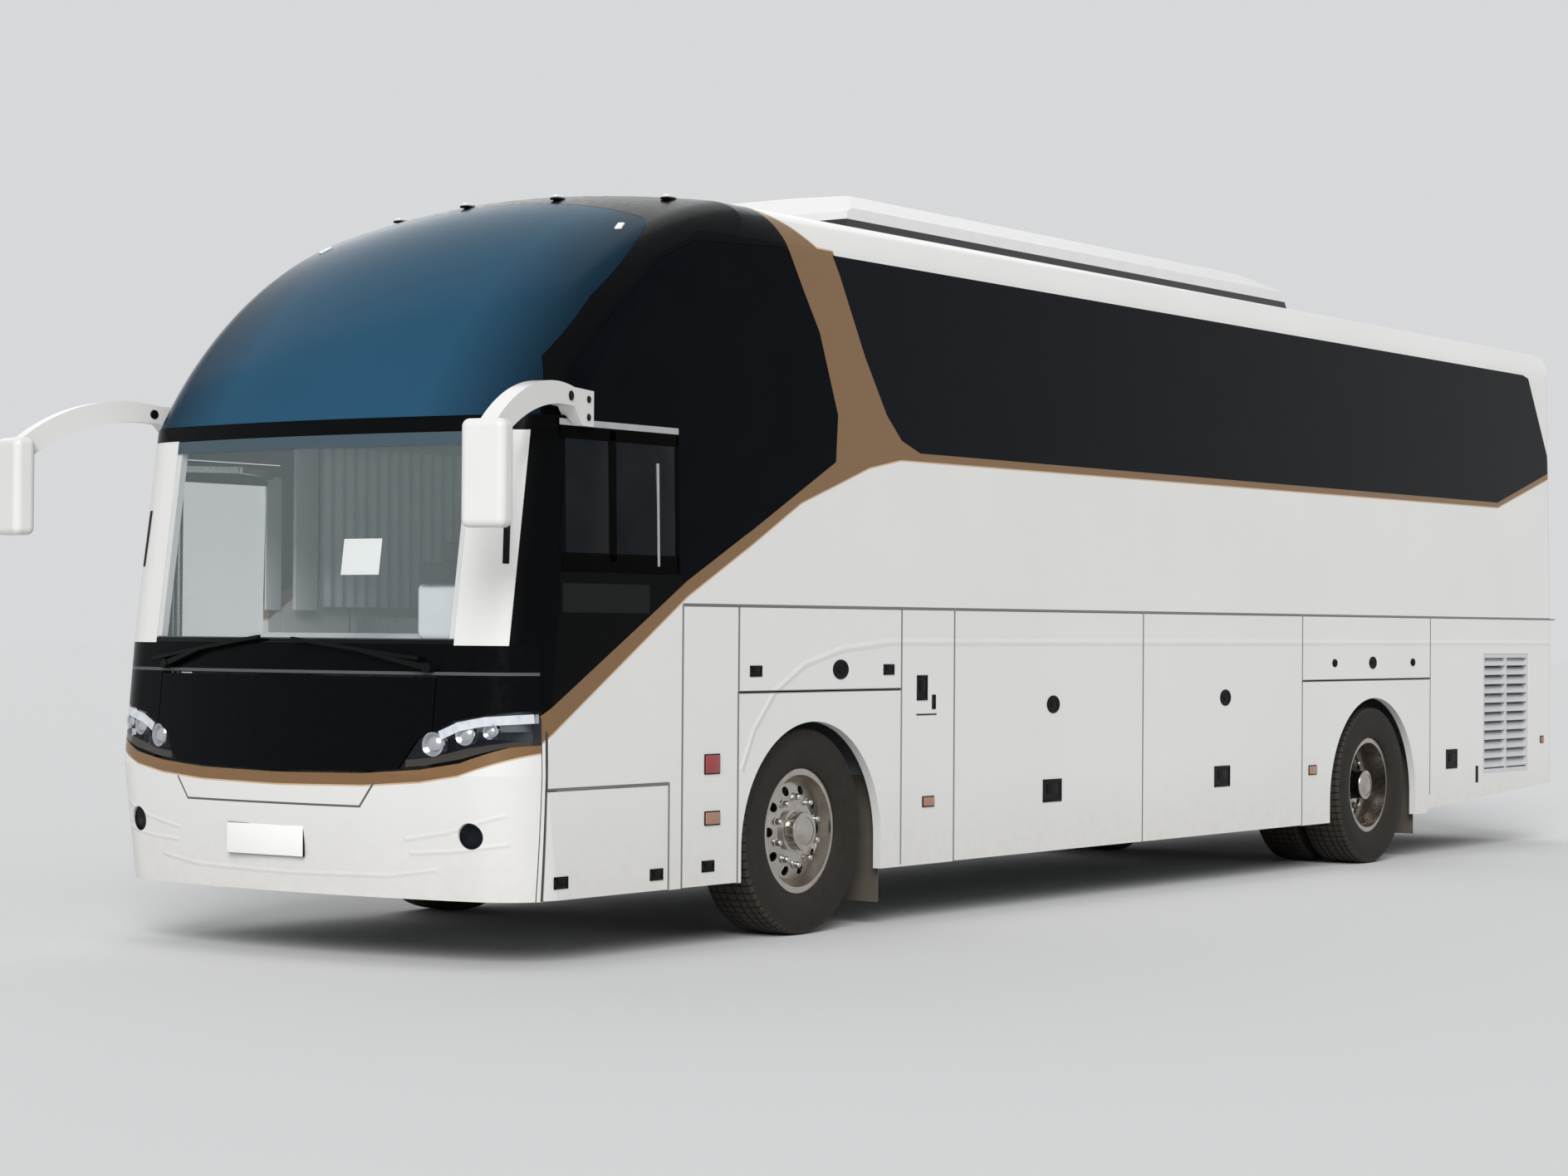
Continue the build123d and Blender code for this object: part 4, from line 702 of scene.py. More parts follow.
def turned(bm, profile, centre, axis, steps=48):
    """A profile of (radius, distance along the axis) points, spun into a closed ring or solid."""
    axis = Vector(axis).normalized()
    out = axis.orthogonal().normalized()
    points = [Vector(centre) + out * radius + axis * along for radius, along in profile]
    verts = [bm.verts.new(point) for point in points]
    edges = [bm.edges.new(pair) for pair in zip(verts, verts[1:])]
    if profile[0][0] > 0 and profile[-1][0] > 0:
        edges.append(bm.edges.new((verts[-1], verts[0])))
    bmesh.ops.spin(bm, geom=verts + edges, cent=Vector(centre), axis=axis, angle=2 * math.pi, steps=steps,
                   use_merge=True)


def pour(form, bm):
    """Adds the shape of one mesh to another."""
    shape = bpy.data.meshes.new("shape")
    form.to_mesh(shape)
    form.free()
    bm.from_mesh(shape)
    bpy.data.meshes.remove(shape)


def piece(name, bm, material, body, smooth_angle=32):
    """Closes a mesh, turns its faces outward, gives it its finish and hangs it on a body."""
    bmesh.ops.remove_doubles(bm, verts=bm.verts, dist=1e-5)
    bmesh.ops.recalc_face_normals(bm, faces=bm.faces)
    mesh = bpy.data.meshes.new(name)
    bm.to_mesh(mesh)
    bm.free()
    mesh.shade_smooth()
    mesh.set_sharp_from_angle(angle=math.radians(smooth_angle))
    mesh.materials.append(material)
    made = bpy.data.objects.new(name, mesh)
    bpy.context.scene.collection.objects.link(made)
    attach(made, body)
    return made


def blocks(name, material, body, slot, *rows):
    """A piece of blocks alone, each given as its centre, size, bevel, segments and turn."""
    bm = bmesh.new()
    for row in rows:
        block(bm, *row)
    return piece(name, bm, material, body)


def surface_point(node, origin, direction):
    """Where a straight line from origin meets a CAD node, and the surface's normal there."""
    hit, place, normal, _ = NODES[node].ray_cast(Vector(origin), Vector(direction))
    if not hit:
        raise RuntimeError("no surface of " + node + " at " + str(tuple(origin)))
    return place, normal


def front_point(node, y, z):
    """Point of the front of a node at that y and z."""
    return surface_point(node, (9.0, y, z), (-1, 0, 0))


def side_point(node, x, z, side):
    """Point of the outside of a node at that x and z."""
    return surface_point(node, (x, side * 4.0, z), (0, -side, 0))


# Tyres

# Section of a tyre as (distance from its middle plane, radius), from the middle out and round the wall
TREAD_SECTION = ((0.0, 0.510), (0.020, 0.510), (0.024, 0.497), (0.032, 0.497), (0.036, 0.5097),
                 (0.064, 0.509), (0.068, 0.496), (0.076, 0.496), (0.080, 0.5083), (0.104, 0.507),
                 (0.107, 0.498), (0.113, 0.498), (0.116, 0.5055), (0.128, 0.503), (0.137, 0.493),
                 (0.1405, 0.476), (0.1415, 0.462), (0.1445, 0.455), (0.145, 0.405),
                 (0.1435, 0.372), (0.1415, 0.366), (0.1395, 0.345), (0.133, 0.325),
                 (0.1245, 0.3095), (0.112, 0.3065), (0.102, 0.300))


def tyre(bm, centre, side):
    """One tyre: ribbed tread, shoulder, bulged wall with its raised bands, and bead."""
    profile = [(radius, across) for across, radius in reversed(TREAD_SECTION)]
    profile += [(radius, -across) for across, radius in TREAD_SECTION[1:]]
    turned(bm, profile, centre, (0, side, 0), steps=88)


def tyres(word, side):
    """The front tyre and the twin rear tyres of one side, in place of their plain solids."""
    for node, body, rubber, shifts in (
            ("tyre_front_", "wheel_front_", FRONT_RUBBER, (0,)),
            ("tyres_rear_", "wheels_rear_", REAR_RUBBER, (-TWIN_PITCH / 2, TWIN_PITCH / 2))):
        bm = bmesh.new()
        for shift in shifts:
            tyre(bm, middle(node + word) + Vector((0, shift, 0)), side)
        made = piece("tread_" + node + word, bm, rubber, body + word, 24)
        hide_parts(node + word)


# Wheel fittings

NUT_CIRCLE = 0.1675
NUT_COUNT = 10
# Sections of a nut and of the hub cap, as (radius, distance out from the wheel)
NUT_SECTION = ((0.0, -0.004), (0.021, -0.004), (0.021, 0.004), (0.0165, 0.006), (0.0165, 0.026),
               (0.012, 0.033), (0.0, 0.036))
CAP_SECTION = ((0.0, -0.002), (0.093, -0.002), (0.096, 0.001), (0.094, 0.006), (0.070, 0.010),
               (0.064, 0.016), (0.045, 0.024), (0.0, 0.028))


def wheel_nuts(word, side, rear):
    """Ten domed nuts on their ring, and the turned hub cap with its flange."""
    node = ("rims_rear_" if rear else "rim_front_") + word
    body = ("wheels_rear_" if rear else "wheel_front_") + word
    place = ("rear_" if rear else "front_") + word
    axle_x = REAR_AXLE_X if rear else AXLE_X
    nuts = bmesh.new()
    for number in range(NUT_COUNT):
        angle = 2 * math.pi * (number + 0.5) / NUT_COUNT
        x, z = axle_x + NUT_CIRCLE * math.cos(angle), HUB_Z + NUT_CIRCLE * math.sin(angle)
        turned(nuts, NUT_SECTION, side_point(node, x, z, side)[0], (0, side, 0), steps=12)
    cap = bmesh.new()
    turned(cap, CAP_SECTION, side_point(node, axle_x, HUB_Z, side)[0], (0, side, 0), steps=40)
    piece("wheel_nuts_" + place, nuts, BRIGHT_STEEL, body)
    piece("hub_cap_" + place, cap, WHEEL_METAL, body)


# Locks, latches and lamps of the sides


def flush_latch(bm, centre, side, width, height):
    """A sunk paddle latch: rim of four bars, the dish's floor and the paddle in it."""
    x, z = centre
    y = side * (SIDE_Y + PROUD / 2)
    for edge in (-1, 1):
        block(bm, (x, y, z + edge * (height / 2 - 0.006)), (width, PROUD * 2, 0.012), 0.002)
        block(bm, (x + edge * (width / 2 - 0.006), y, z), (0.012, PROUD * 2, height), 0.002)
    block(bm, (x, side * (SIDE_Y + 0.0005), z), (width - 0.014, 0.002, height - 0.014))
    block(bm, (x, side * (SIDE_Y + 0.002), z + height * 0.08), (width * 0.55, 0.005, height * 0.42),
          0.002)


def round_lock(bm, centre, side, radius, stretch):
    """An oval lock: rimmed plate, sunk dish and a barrel with its key slot."""
    x, z = centre
    start = Vector((x, side * SIDE_Y, z))
    plate = bmesh.new()
    turned(plate, ((0.0, -0.001), (radius, -0.001), (radius, 0.003), (radius - 0.004, 0.005),
                   (radius * 0.72, 0.005), (radius * 0.66, 0.0015), (radius * 0.36, 0.0015),
                   (radius * 0.33, 0.006), (0.0, 0.0065)), start, (0, side, 0), steps=32)
    bmesh.ops.scale(plate, vec=(stretch, 1, 1), space=Matrix.Translation(-start), verts=plate.verts)
    pour(plate, bm)
    block(bm, (x, side * (SIDE_Y + 0.0065), z), (0.004, 0.002, radius * 0.42))


# Sizes of the latches, as (width, height), and of the locks, as (radius, stretch)
LATCHES = {"latch": (0.200, 0.125), "small": (0.098, 0.054)}
LOCKS = {"round": (0.049, 1.4), "round_small": (0.040, 1.4), "button": (0.026, 1.4)}
# Black fittings of each lid from the front axle: (kind, x, z)
LID_FITTINGS = {
    "luggage_door_{}_1": (("round", -2.307, 1.100), ("latch", -2.300, 0.628)),
    "luggage_door_{}_2": (("round", -4.335, 1.110), ("latch", -4.297, 0.640)),
    "front_wheel_hatch_{}": (("small", 0.49, 1.30), ("round", -0.231, 1.304), ("small", -0.665, 1.301)),
    "rear_wheel_hatch_{}": (("button", -5.83, 1.31), ("round_small", -6.395, 1.31),
                            ("button", -7.017, 1.31)),
}
LEFT_LID_FITTINGS = {
    "front_locker_lid": (("small", 1.954, 0.375), ("small", 1.262, 0.372)),
    "service_flap": (("small", 0.866, 0.388),),
}


def lid_fittings(body, fittings, side):
    """The latches and locks of one lid."""
    bm = bmesh.new()
    for kind, x, z in fittings:
        place = (x + AXLE_X, z)
        if kind in LATCHES:
            flush_latch(bm, place, side, *LATCHES[kind])
        else:
            round_lock(bm, place, side, *LOCKS[kind])
    piece(body + "_latches", bm, BLACK_PLASTIC, body)


def lamp_on_side(name, x, z, width, height, side, lens, body):
    """A side lamp: a rubber-edged base with a domed lens that is ribbed inside."""
    x += AXLE_X
    blocks(name + "_base", SEAL_RUBBER, body, "flap_rubber",
           ((x, side * (SIDE_Y + 0.002), z), (width + 0.012, 0.006, height + 0.012), 0.003))
    blocks(name, lens, body, "red_lens",
           ((x, side * (SIDE_Y + 0.006), z), (width, 0.012, height), 0.005, 3))


# Marker lamps of both sides, as (x from the front axle, z, width, height)
SIDE_MARKERS = {"front": (-1.04, 0.617, 0.10, 0.045), "middle": (-5.515, 0.639, 0.10, 0.05),
                "rear": (-9.246, 0.744, 0.05, 0.04)}


def side_lamps():
    """Red lamp and reflector of the service flap, and the amber markers along both sides."""
    lamp_on_side("service_flap_lamp", 0.839, 0.866, 0.110, 0.084, 1, RED_LENS, "service_flap")
    lamp_on_side("service_flap_reflector", 0.836, 0.612, 0.110, 0.056, 1, AMBER_LENS, "service_flap")
    for word, side in SIDES:
        for place, sizes in SIDE_MARKERS.items():
            lamp_on_side("side_marker_" + place + "_" + word, *sizes, side, AMBER_LENS, "body")


# Latches and slots of both sides, as (x from the front axle, z, width, height)
SIDE_LATCHES = ((-0.978, 1.205, 0.10, 0.13), (-1.09, 1.131, 0.034, 0.075), (-7.655, 0.648, 0.185, 0.132))
SIDE_SLOTS = ((-1.02, 1.067, 0.19, 0.007), (-8.085, 0.53, 0.040, 0.115))


def side_fittings():
    """Filler lid, its catch and slot behind the front wheel, and the latch and slot by the grille."""
    for word, side in SIDES:
        bm = bmesh.new()
        for x, z, width, height in SIDE_LATCHES:
            flush_latch(bm, (x + AXLE_X, z), side, width, height)
        for x, z, width, height in SIDE_SLOTS:
            block(bm, (x + AXLE_X, side * (SIDE_Y + 0.001), z), (width, 0.004, height), 0.001)
        piece("side_fittings_" + word, bm, BLACK_PLASTIC, "body")


# Entry door and tail

# Pull handle of the entry door: x from the front axle, z of its middle and of its two feet
PULL_X = 1.215
PULL_Z = 1.05
PULL_FEET = (0.975, 1.125)
DOOR_LOCK_Z = 0.90


def door_fittings():
    """Pull handle with its lock below the door's glass."""
    x = PULL_X + AXLE_X
    face = side_point("entry_door", x, PULL_Z, -1)[0].y
    feet = [((x, face - 0.009, z), (0.024, 0.020, 0.022), 0.003) for z in PULL_FEET]
    blocks("entry_door_pull", BLACK_PLASTIC, "entry_door", "grey_plastic",
           ((x, face - 0.020, PULL_Z), (0.024, 0.012, 0.17), 0.005, 3), *feet)
    lock = bmesh.new()
    turned(lock, ((0.0, -0.001), (0.020, -0.001), (0.020, 0.003), (0.014, 0.005), (0.0, 0.005)),
           (x, face, DOOR_LOCK_Z), (0, -1, 0), steps=24)
    piece("entry_door_lock", lock, BRIGHT_STEEL, "entry_door")


LID_LATCH_Y = 0.55
LID_LATCH_Z = 0.98


def tail_fittings():
    """Two latches at the foot of the engine lid."""
    bm = bmesh.new()
    for y in (-LID_LATCH_Y, LID_LATCH_Y):
        face = surface_point("engine_lid", (-9.0, y, LID_LATCH_Z), (1, 0, 0))[0].x
        block(bm, (face + 0.0025, y, LID_LATCH_Z), (0.006, 0.11, 0.07), 0.002)
        block(bm, (face + 0.0015, y, LID_LATCH_Z + 0.005), (0.006, 0.07, 0.030), 0.002)
    piece("engine_lid_latches", bm, BLACK_PLASTIC, "engine_lid")


# Windows

# The driver's glass ends here, at the rail's lower edge.
GLASS_TOP_Z = 2.38


def side_bar(bm, node, low, high, thick):
    """A flat bar over the outside of the left glass between two corners (x, z), leaning with it."""
    x, z = (low[0] + high[0]) / 2, (low[1] + high[1]) / 2
    found, normal = side_point(node, x + AXLE_X, min(z, GLASS_TOP_Z), 1)
    centre = Vector((found.x, found.y - (z - found.z) * normal.z / normal.y, z))
    along = Vector((0, 0, 1)).cross(-normal).normalized()
    turn = Matrix((along, normal, along.cross(normal))).transposed().to_quaternion()
    block(bm, centre, (high[0] - low[0], thick, high[1] - low[1]), 0.002, 2, turn)


# Parts of the driver's window: finish, slot, thickness, and the two corners (x, z) of each bar or pane
DRIVER_WINDOW = {
    "rails": (BRIGHT_STEEL, "bright_bars", 0.014,
              (((1.103, 2.400), (1.965, 2.430)), ((1.253, 1.785), (1.271, 2.260)))),
    "channels": (CHANNEL_BLACK, "grey_plastic", 0.010,
                 (((1.570, 1.80), (1.620, 2.40)), ((1.10, 1.755), (1.96, 1.835)),
                  ((1.10, 2.345), (1.96, 2.395)), ((1.10, 1.755), (1.125, 2.395)))),
    "panes": (PANE_GLASS, "tinted_glass", 0.004,
              (((1.125, 1.835), (1.570, 2.345)), ((1.620, 1.835), (1.93, 2.345)),
               ((1.326, 1.760), (1.93, 1.790)))),
}


def window_trim():
    """The driver's sliding window: bright top rail and rear upright, black channels and grey panes."""
    for word, (material, slot, thick, bars) in DRIVER_WINDOW.items():
        bm = bmesh.new()
        for low, high in bars:
            side_bar(bm, "front_side_glass", low, high, thick)
        piece("driver_window_" + word, bm, material, "body")


# Lamps and fittings of the front

# Lights of a head lamp, as (distance from the middle, height, radius)
LAMP_LIGHTS = ((0.850, 0.985, 0.050), (1.005, 1.030, 0.044), (1.115, 1.045, 0.032))
# How far they stand behind the cover, and the sections of their ring and ball lens, as (share of the
# radius, distance ahead)
LIGHT_DEPTH = 0.030
RING_SECTION = ((0.86, 0.004), (0.9, 0.018), (1.08, 0.022), (1.16, 0.016), (1.16, -0.010),
                (0.86, -0.010))
BALL_SECTION = ((0.0, 0.022), (0.35, 0.020), (0.62, 0.014), (0.87, 0.004), (0.87, -0.008),
                (0.0, -0.008))
# Fog lamp, as (distance from the middle, height), and its bowl, as (radius, distance ahead)
FOG_LAMP = (1.03, 0.585)
BOWL_SECTION = ((0.0, -0.040), (0.030, -0.034), (0.050, -0.014), (0.054, 0.001), (0.064, 0.003),
                (0.064, -0.008), (0.056, -0.020), (0.034, -0.042), (0.0, -0.046))


def head_lamp_insides():
    """Three lights behind each clear cover, each a chromed ring with a bright ball lens, and the black
    dished fog lamp in the bumper."""
    for word, side in SIDES:
        rings = bmesh.new()
        glass = bmesh.new()
        for y, z, radius in LAMP_LIGHTS:
            centre = front_point("head_lamps", side * y, z)[0] - Vector((LIGHT_DEPTH, 0, 0))
            for bm, section in ((rings, RING_SECTION), (glass, BALL_SECTION)):
                profile = [(radius * share, ahead) for share, ahead in section]
                turned(bm, profile, centre, (1, side * 0.2, 0), steps=36)
        piece("projector_rings_" + word, rings, CHROME, "body")
        piece("projector_glass_" + word, glass, PROJECTOR_GLASS, "body")
        bowl = bmesh.new()
        fog = front_point("head_lamps", side * FOG_LAMP[0], FOG_LAMP[1])[0]
        turned(bowl, BOWL_SECTION, fog, (1, side * 0.25, 0), steps=36)
        piece("fog_lamp_bowl_" + word, bowl, BLACK_PLASTIC, "body")


# Registration plate, by its middle
PLATE_Y = -0.105
PLATE_Z = 0.53


def front_fittings():
    """Blank registration plate on its carrier."""
    x = front_point("front_bumper", PLATE_Y, PLATE_Z)[0].x
    blocks("plate_carrier", BLACK_PLASTIC, "body", "grey_plastic",
           ((x + 0.002, PLATE_Y, PLATE_Z), (0.012, 0.478, 0.142), 0.003))
    blocks("blank_front_plate", PLATE_WHITE, "body", "unit_plastic",
           ((x + 0.0095, PLATE_Y, PLATE_Z), (0.003, 0.474, 0.138), 0.001))


# Lamps of the roof edge, from the front axle, and the lamps at the ends of the dome
ROOF_LAMPS = ((0.66, 0.86), (0.80, 0.29))
END_LAMP = (1.137, 3.379)


def roof_lamps():
    """Marker lamps over the front dome, and the end-outline lamps at its corners."""
    lenses = bmesh.new()
    bases = bmesh.new()
    for side in (1, -1):
        for x, y in ROOF_LAMPS:
            top = surface_point("front_cap", (x + AXLE_X, side * y, 5.0), (0, 0, -1))[0]
            block(bases, top + Vector((0, 0, 0.002)), (0.085, 0.045, 0.012), 0.004)
            block(lenses, top + Vector((0, 0, 0.013)), (0.070, 0.034, 0.018), 0.008, 3)
        corner, normal = side_point("front_cap", END_LAMP[0] + AXLE_X, END_LAMP[1], side)
        spin = normal.to_track_quat("Z", "Y")
        block(bases, corner, (0.055, 0.095, 0.010), 0.004, 2, spin)
        block(lenses, corner + normal * 0.009, (0.036, 0.07, 0.016), 0.007, 3, spin)
    piece("roof_lamp_bases", bases, BLACK_PLASTIC, "body")
    piece("roof_lamp_lenses", lenses, SMOKE_LENS, "body")


# Root of a mirror's arm, as (x from the front axle, y), and its sweep outward from straight ahead
MIRROR_ROOT = (1.760, 1.240)
MIRROR_SWEEP = math.atan2(0.215, 0.920)
# Glasses of a mirror by their foot and head, their place along the arm, and the head's black foot
MIRROR_GLASSES = ((1.945, 2.120), (2.135, 2.345))
MIRROR_ALONG = 0.8985
MIRROR_FOOT = (0.955, 1.931)
# Caps over the arm's bolts, as (distance along the arm, height, radius)
ARM_CAPS = ((0.055, 2.520, 0.016), (0.055, 2.440, 0.016), (0.235, 2.525, 0.022))


def on_mirror_arm(along, out, z, side):
    """Point of the frame beside a mirror's arm, along it and out from its middle plane."""
    x = MIRROR_ROOT[0] + AXLE_X + along * math.cos(MIRROR_SWEEP) - out * math.sin(MIRROR_SWEEP)
    y = MIRROR_ROOT[1] + along * math.sin(MIRROR_SWEEP) + out * math.cos(MIRROR_SWEEP)
    return Vector((x, side * y, z))


def mirror_fittings():
    """Silvered glasses of the two mirrors in their black seats, the black foot of each head, and the caps
    over the arms' bolts."""
    for word, side in SIDES:
        turn = Matrix.Rotation(side * MIRROR_SWEEP, 3, "Z").to_quaternion()
        glass = bmesh.new()
        dark = bmesh.new()
        for z0, z1 in MIRROR_GLASSES:
            centre = on_mirror_arm(MIRROR_ALONG, 0.0, (z0 + z1) / 2, side)
            block(dark, centre, (0.006, 0.122, z1 - z0), 0.002, 2, turn)
            block(glass, centre - turn @ Vector((0.0035, 0, 0)), (0.003, 0.108, z1 - z0 - 0.014),
                  0.001, 1, turn)
        foot = on_mirror_arm(MIRROR_FOOT[0], 0.0, MIRROR_FOOT[1], side)
        block(dark, foot, (0.060, 0.150, 0.016), 0.006, 2, turn)
        out = on_mirror_arm(0, 1, 0, side) - on_mirror_arm(0, 0, 0, side)
        for along, z, radius in ARM_CAPS:
            for edge in (1, -1):
                turned(dark, ((0.0, -0.002), (radius, -0.002), (radius, 0.004), (radius * 0.8, 0.007),
                              (0.0, 0.007)),
                       on_mirror_arm(along, edge * 0.040, z, side), out * edge, steps=20)
        piece("mirror_glass_" + word, glass, MIRROR_SILVER, "body")
        piece("mirror_seat_" + word, dark, BLACK_PLASTIC, "body")


# Cab and saloon


def pad(bm, centre, size, turn, crown, channels):
    """An upholstered pad: crowned, drawn in at its corners, with sewn channels along it."""
    form = bmesh.new()
    bmesh.ops.create_cube(form, size=1)
    bmesh.ops.subdivide_edges(form, edges=form.edges[:], cuts=5, use_grid_fill=True)
    for vert in form.verts:
        u, v, w = vert.co * 2
        bulge = (1 - u * u) * (1 - v * v)
        vert.co.z += crown / size[2] * bulge * (0.5 if w > 0 else 0.15)
        pull = 1 - 0.10 * abs(w) ** 2 * max(abs(u), abs(v)) ** 6
        vert.co.x *= pull
        vert.co.y *= pull
        if channels and w > 0.9 and abs(abs(v) - 1 / 3) < 0.05 and abs(u) < 0.9:
            vert.co.z -= 0.010 / size[2]
    bmesh.ops.smooth_vert(form, verts=form.verts, factor=0.35, use_axis_x=True, use_axis_y=True,
                          use_axis_z=True)
    bmesh.ops.transform(form, matrix=Matrix.LocRotScale(Vector(centre), turn, Vector(size)),
                        verts=form.verts)
    pour(form, bm)


# Rows of seats, the two seats of a side by their distance from the middle, and the driver's seat, as
# (x from the front axle, y)
SEAT_PITCH = 0.76
SEAT_ROWS = 11
SEAT_YS = (0.515, 0.965)
SEAT_WIDTH = 0.435
DRIVER_SEAT = (1.34, 0.64)
DRIVER_SEAT_WIDTH = 0.47
FIRST_ROW_X = -0.25
DECK_Z = 1.545
PLATFORM_Z = 1.04
BACK_LEAN = math.radians(-14)

# Pads of a seat, as (back from its front edge, height, length, share of its width, thickness, crown,
# upright, channels), and its frame, as (back, height, size, share of its width, size, bevel, leaning)
SEAT_PADS = ((0.22, 0.375, 0.42, 1.0, 0.135, 0.05, False, True),
             (0.485, 0.700, 0.62, 1.0, 0.105, 0.04, True, True),
             (0.565, 1.045, 0.15, 0.72, 0.105, 0.05, True, False))
SEAT_FRAME = ((0.20, 0.285, 0.36, 0.9, 0.03, 0.008, False),
              (0.15, 0.14, 0.05, 0.5, 0.27, 0.01, False),
              (0.545, 0.68, 0.018, 0.86, 0.60, 0.006, True))


def seat(cloth, frames, front_x, centre_y, floor, width):
    """A reclining coach seat: cushion, tall back with a headrest roll, legs and shell."""
    lean = Matrix.Rotation(BACK_LEAN, 3, "Y").to_quaternion()
    upright = Matrix.Rotation(BACK_LEAN + math.pi / 2, 3, "Y").to_quaternion()
    x = front_x + AXLE_X
    for back, height, length, share, thick, crown, stands, channels in SEAT_PADS:
        pad(cloth, (x - back, centre_y, floor + height), (length, width * share, thick),
            upright if stands else None, crown, channels)
    for back, height, length, share, tall, bevel, leans in SEAT_FRAME:
        block(frames, (x - back, centre_y, floor + height), (length, width * share, tall), bevel, 1,
              lean if leans else None)


def seats():
    """Two pairs of seats in each row, and the driver's seat, in place of their plain solids."""
    cloth = bmesh.new()
    frames = bmesh.new()
    for row in range(SEAT_ROWS):
        for side in (1, -1):
            for centre_y in SEAT_YS:
                seat(cloth, frames, FIRST_ROW_X - row * SEAT_PITCH, side * centre_y, DECK_Z,
                     SEAT_WIDTH)
    seat(cloth, frames, *DRIVER_SEAT, PLATFORM_Z, DRIVER_SEAT_WIDTH)
    covers = piece("seat_covers", cloth, SEAT_CLOTH, "body", 60)
    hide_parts("seats")
    piece("seat_frames", frames, SOFT_BLACK, "body")


CURTAIN_X = (-0.19, 0.93)
CURTAIN_Z = (1.60, 2.42)
CURTAIN_Y = -1.168
FOLD = 0.085
FOLD_DEPTH = 0.016


def cab_curtain():
    """The curtain behind the entry door, gathered on its rail."""
    columns, rows = 132, 10
    width = CURTAIN_X[1] - CURTAIN_X[0]
    height = CURTAIN_Z[1] - CURTAIN_Z[0]
    bm = bmesh.new()
    bmesh.ops.create_grid(bm, x_segments=columns, y_segments=rows, size=0.5)
    for vert in bm.verts:
        along, up = vert.co.x + 0.5, vert.co.y + 0.5
        swing = FOLD_DEPTH * (1.15 - 0.35 * up)
        vert.co = Vector((AXLE_X + CURTAIN_X[0] + along * width,
                          CURTAIN_Y + swing * math.sin(2 * math.pi * along * width / FOLD),
                          CURTAIN_Z[0] + up * height))
    made = piece("cab_curtain", bm, CURTAIN_CLOTH, "body", 60)
    solid = made.modifiers.new("thickness", "SOLIDIFY")
    solid.thickness = 0.0012
    rail = bmesh.new()
    turned(rail, ((0.0, 0.0), (0.008, 0.0), (0.008, width + 0.06), (0.0, width + 0.06)),
           (AXLE_X + CURTAIN_X[0] - 0.03, CURTAIN_Y, CURTAIN_Z[1] + 0.006), (1, 0, 0), steps=12)
    bar = piece("curtain_rail", rail, BRIGHT_STEEL, "body")


# Places in the cab, in the frame
BINNACLE_X = 5.28
BINNACLE_Y = 0.705
DOOR_LINING_X = 1.20
PILLAR_SLOT = (1.120, 1.915)
CARD_Y = 0.37
CARD_LEAN = math.radians(-8)


def cab_fittings():
    """Instrument binnacle with its stepped black hood, white linings behind and on the door, black slots
    of the screen pillars, and the blank card in the screen."""
    foot = surface_point("dashboard", (BINNACLE_X, 0.70, 3.0), (0, 0, -1))[0].z
    blocks("instrument_binnacle", DASH_GREY, "body", "grey_plastic",
           ((BINNACLE_X, BINNACLE_Y, (foot + 1.70) / 2 - 0.005), (0.20, 0.54, 1.71 - foot), 0.03, 3))
    blocks("instrument_hood", SOFT_BLACK, "body", "grey_plastic",
           ((BINNACLE_X + 0.01, 0.715, 1.745), (0.24, 0.49, 0.10), 0.02, 3),
           ((BINNACLE_X + 0.01, 0.770, 1.835), (0.20, 0.38, 0.10), 0.025, 3))
    blocks("post_lining", LINING_WHITE, "body", "unit_plastic",
           ((1.025 + AXLE_X, CURTAIN_Y, 2.00), (0.165, 0.024, 0.84), 0.008))
    x = DOOR_LINING_X + AXLE_X
    face = surface_point("entry_door", (x, -0.5, 1.50), (0, -1, 0))[0].y
    blocks("door_lining", LINING_WHITE, "entry_door", "unit_plastic",
           ((x, face + 0.006, 1.92), (0.11, 0.014, 0.68), 0.005))
    slots = []
    for side in (1, -1):
        face, normal = front_point("pillar_covers", side * PILLAR_SLOT[0], PILLAR_SLOT[1])
        slots.append((face, (0.030, 0.27, 0.010), 0.004, 2, normal.to_track_quat("Z", "Y")))
    blocks("pillar_slots", BLACK_PLASTIC, "body", "grey_plastic", *slots)
    x = surface_point("windscreen_lower", (3.0, CARD_Y, 1.82), (1, 0, 0))[0].x
    turn = Matrix.Rotation(CARD_LEAN, 3, "Y").to_quaternion()
    blocks("blank_card", PLATE_WHITE, "body", "unit_plastic",
           ((x - 0.015, CARD_Y, 1.815), (0.002, 0.23, 0.165), 0.0005, 1, turn))


for word, side in SIDES:
    tyres(word, side)
    wheel_nuts(word, side, rear=False)
    wheel_nuts(word, side, rear=True)
    for pattern, fittings in LID_FITTINGS.items():
        lid_fittings(pattern.format(word), fittings, side)
for body, fittings in LEFT_LID_FITTINGS.items():
    lid_fittings(body, fittings, 1)
side_lamps()
side_fittings()
door_fittings()
tail_fittings()
window_trim()
head_lamp_insides()
front_fittings()
roof_lamps()
mirror_fittings()
seats()
cab_curtain()
cab_fittings()


# Studio

FLOOR_HALF = 150


def studio_floor():
    """A plain pale floor."""
    bm = bmesh.new()
    bmesh.ops.create_grid(bm, x_segments=1, y_segments=1, size=FLOOR_HALF)
    mesh = bpy.data.meshes.new("studio_floor")
    bm.to_mesh(mesh)
    bm.free()
    paint = {"Roughness": 0.95, "Specular IOR Level": 0.05, "Base Color": "DBDBDB"}
    mesh.materials.append(finish("matt_floor_paint", paint)[0])
    floor = bpy.data.objects.new("studio_floor", mesh)
    bpy.context.scene.collection.objects.link(floor)


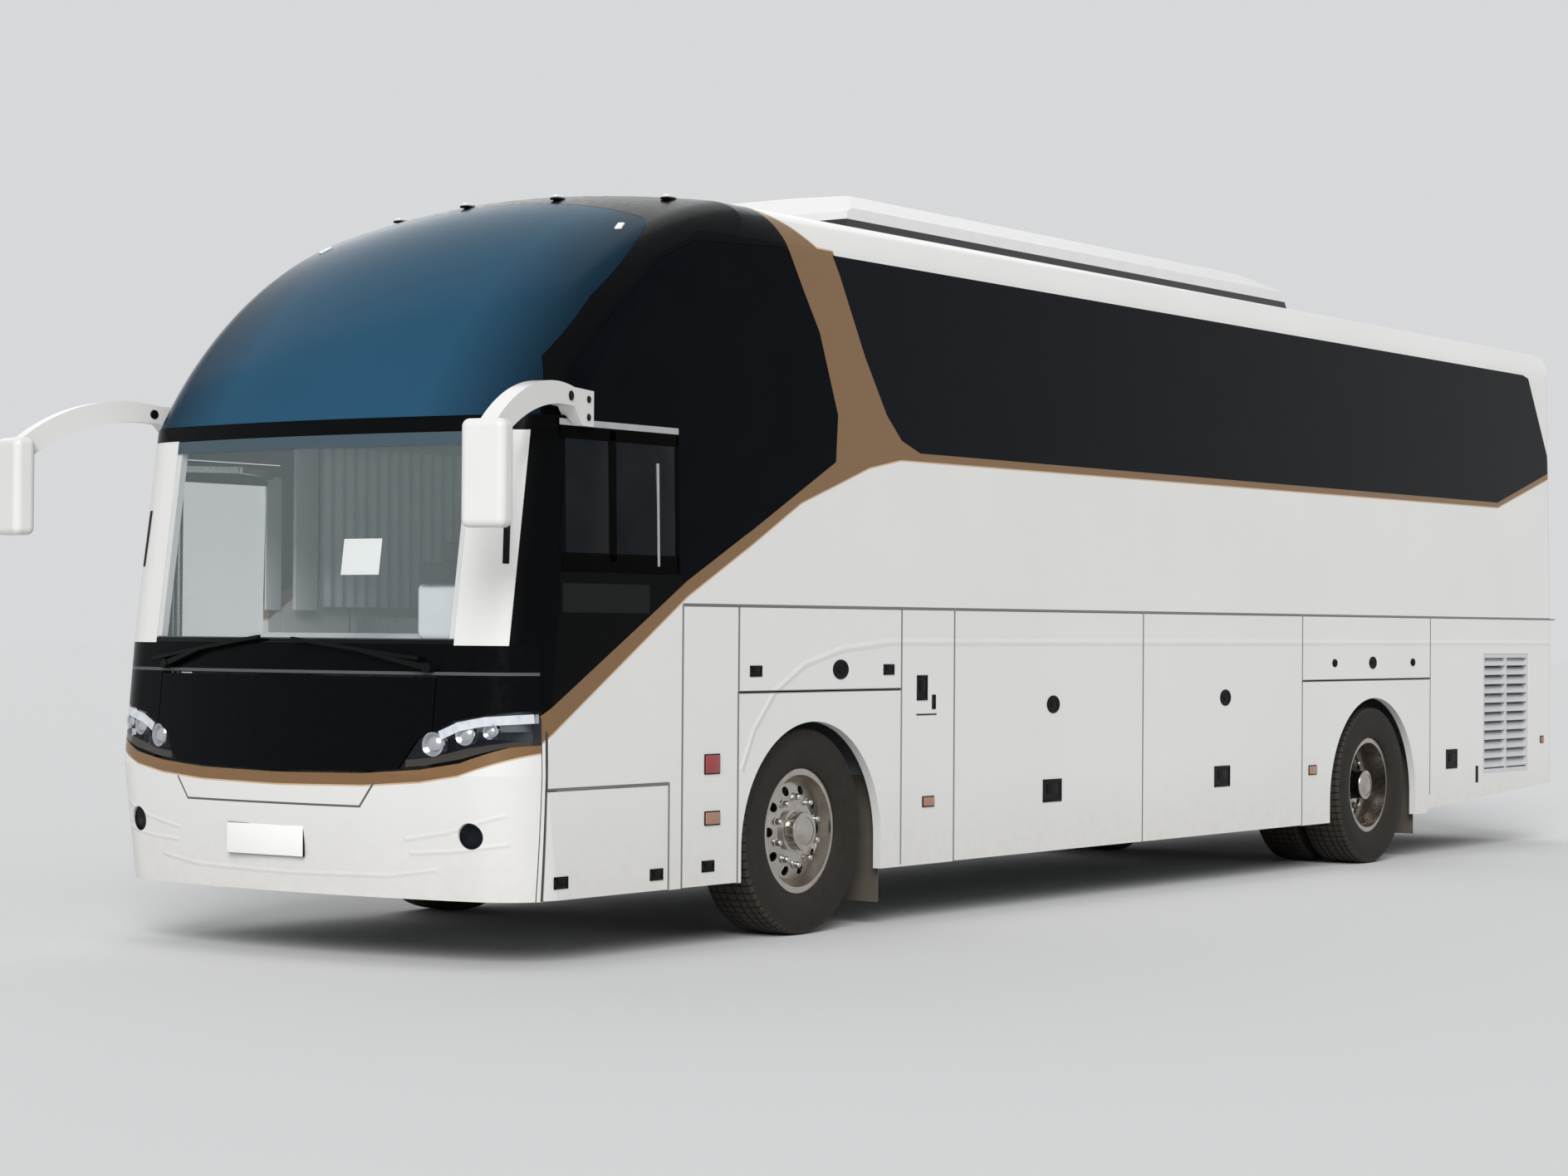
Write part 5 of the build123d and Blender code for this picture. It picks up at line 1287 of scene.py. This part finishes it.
def studio_world():
    """Even pale surroundings; camera, gloss and glass see them paler than the light they give."""
    world = bpy.data.worlds.new("studio_world")
    bpy.context.scene.world = world
    world.use_nodes = True
    tree = world.node_tree
    shown = add(tree, "LightPath", out=None)
    seen = calc(tree, "MAXIMUM", shown.outputs["Is Camera Ray"], shown.outputs["Is Glossy Ray"])
    seen = calc(tree, "MAXIMUM", seen, shown.outputs["Is Transmission Ray"])
    level = ramp(tree, seen, first=0.47, last=0.76)
    feed(tree, tree.nodes["Background"], {"Color": "F2F4F6", "Strength": level})


def soft_sun(name, towards, spread, strength):
    """Soft light from far off, that falls on body and floor alike."""
    data = bpy.data.lights.new(name, "SUN")
    data.angle = math.radians(spread)
    data.energy = strength
    light = bpy.data.objects.new(name, data)
    light.rotation_euler = Vector(towards).to_track_quat("-Z", "Y").to_euler()
    bpy.context.scene.collection.objects.link(light)


# Camera, fitted to the photograph's own perspective
CAMERA_PLACE = (16.5182, 10.3603, 1.5016)
CAMERA_YAW = 0.615
CAMERA_PITCH = 0.0127
CAMERA_ROLL = 0.0069
CAMERA_LENS = 74.61


def studio_camera():
    """The camera, turned by its yaw, pitch and roll."""
    data = bpy.data.cameras.new("camera")
    data.sensor_fit = "HORIZONTAL"
    data.sensor_width = 36.0
    data.lens = CAMERA_LENS
    data.clip_end = 400
    camera = bpy.data.objects.new("camera", data)
    bpy.context.scene.collection.objects.link(camera)
    ahead = Vector((-math.cos(CAMERA_YAW) * math.cos(CAMERA_PITCH),
                    -math.sin(CAMERA_YAW) * math.cos(CAMERA_PITCH), math.sin(CAMERA_PITCH)))
    right = ahead.cross(Vector((0, 0, 1))).normalized()
    above = right.cross(ahead)
    tilted_right = right * math.cos(CAMERA_ROLL) + above * math.sin(CAMERA_ROLL)
    tilted_above = above * math.cos(CAMERA_ROLL) - right * math.sin(CAMERA_ROLL)
    turn = Matrix((tilted_right, tilted_above, -ahead)).transposed()
    camera.matrix_world = Matrix.Translation(CAMERA_PLACE) @ turn.to_4x4()
    bpy.context.scene.camera = camera


studio_floor()
studio_world()
soft_sun("key_light", (-0.70, -0.47, -0.50), 30, 2.45)
soft_sun("fill_light", (0.50, 0.60, -0.62), 60, 0.6)
studio_camera()
bpy.context.scene.view_settings.view_transform = "Standard"
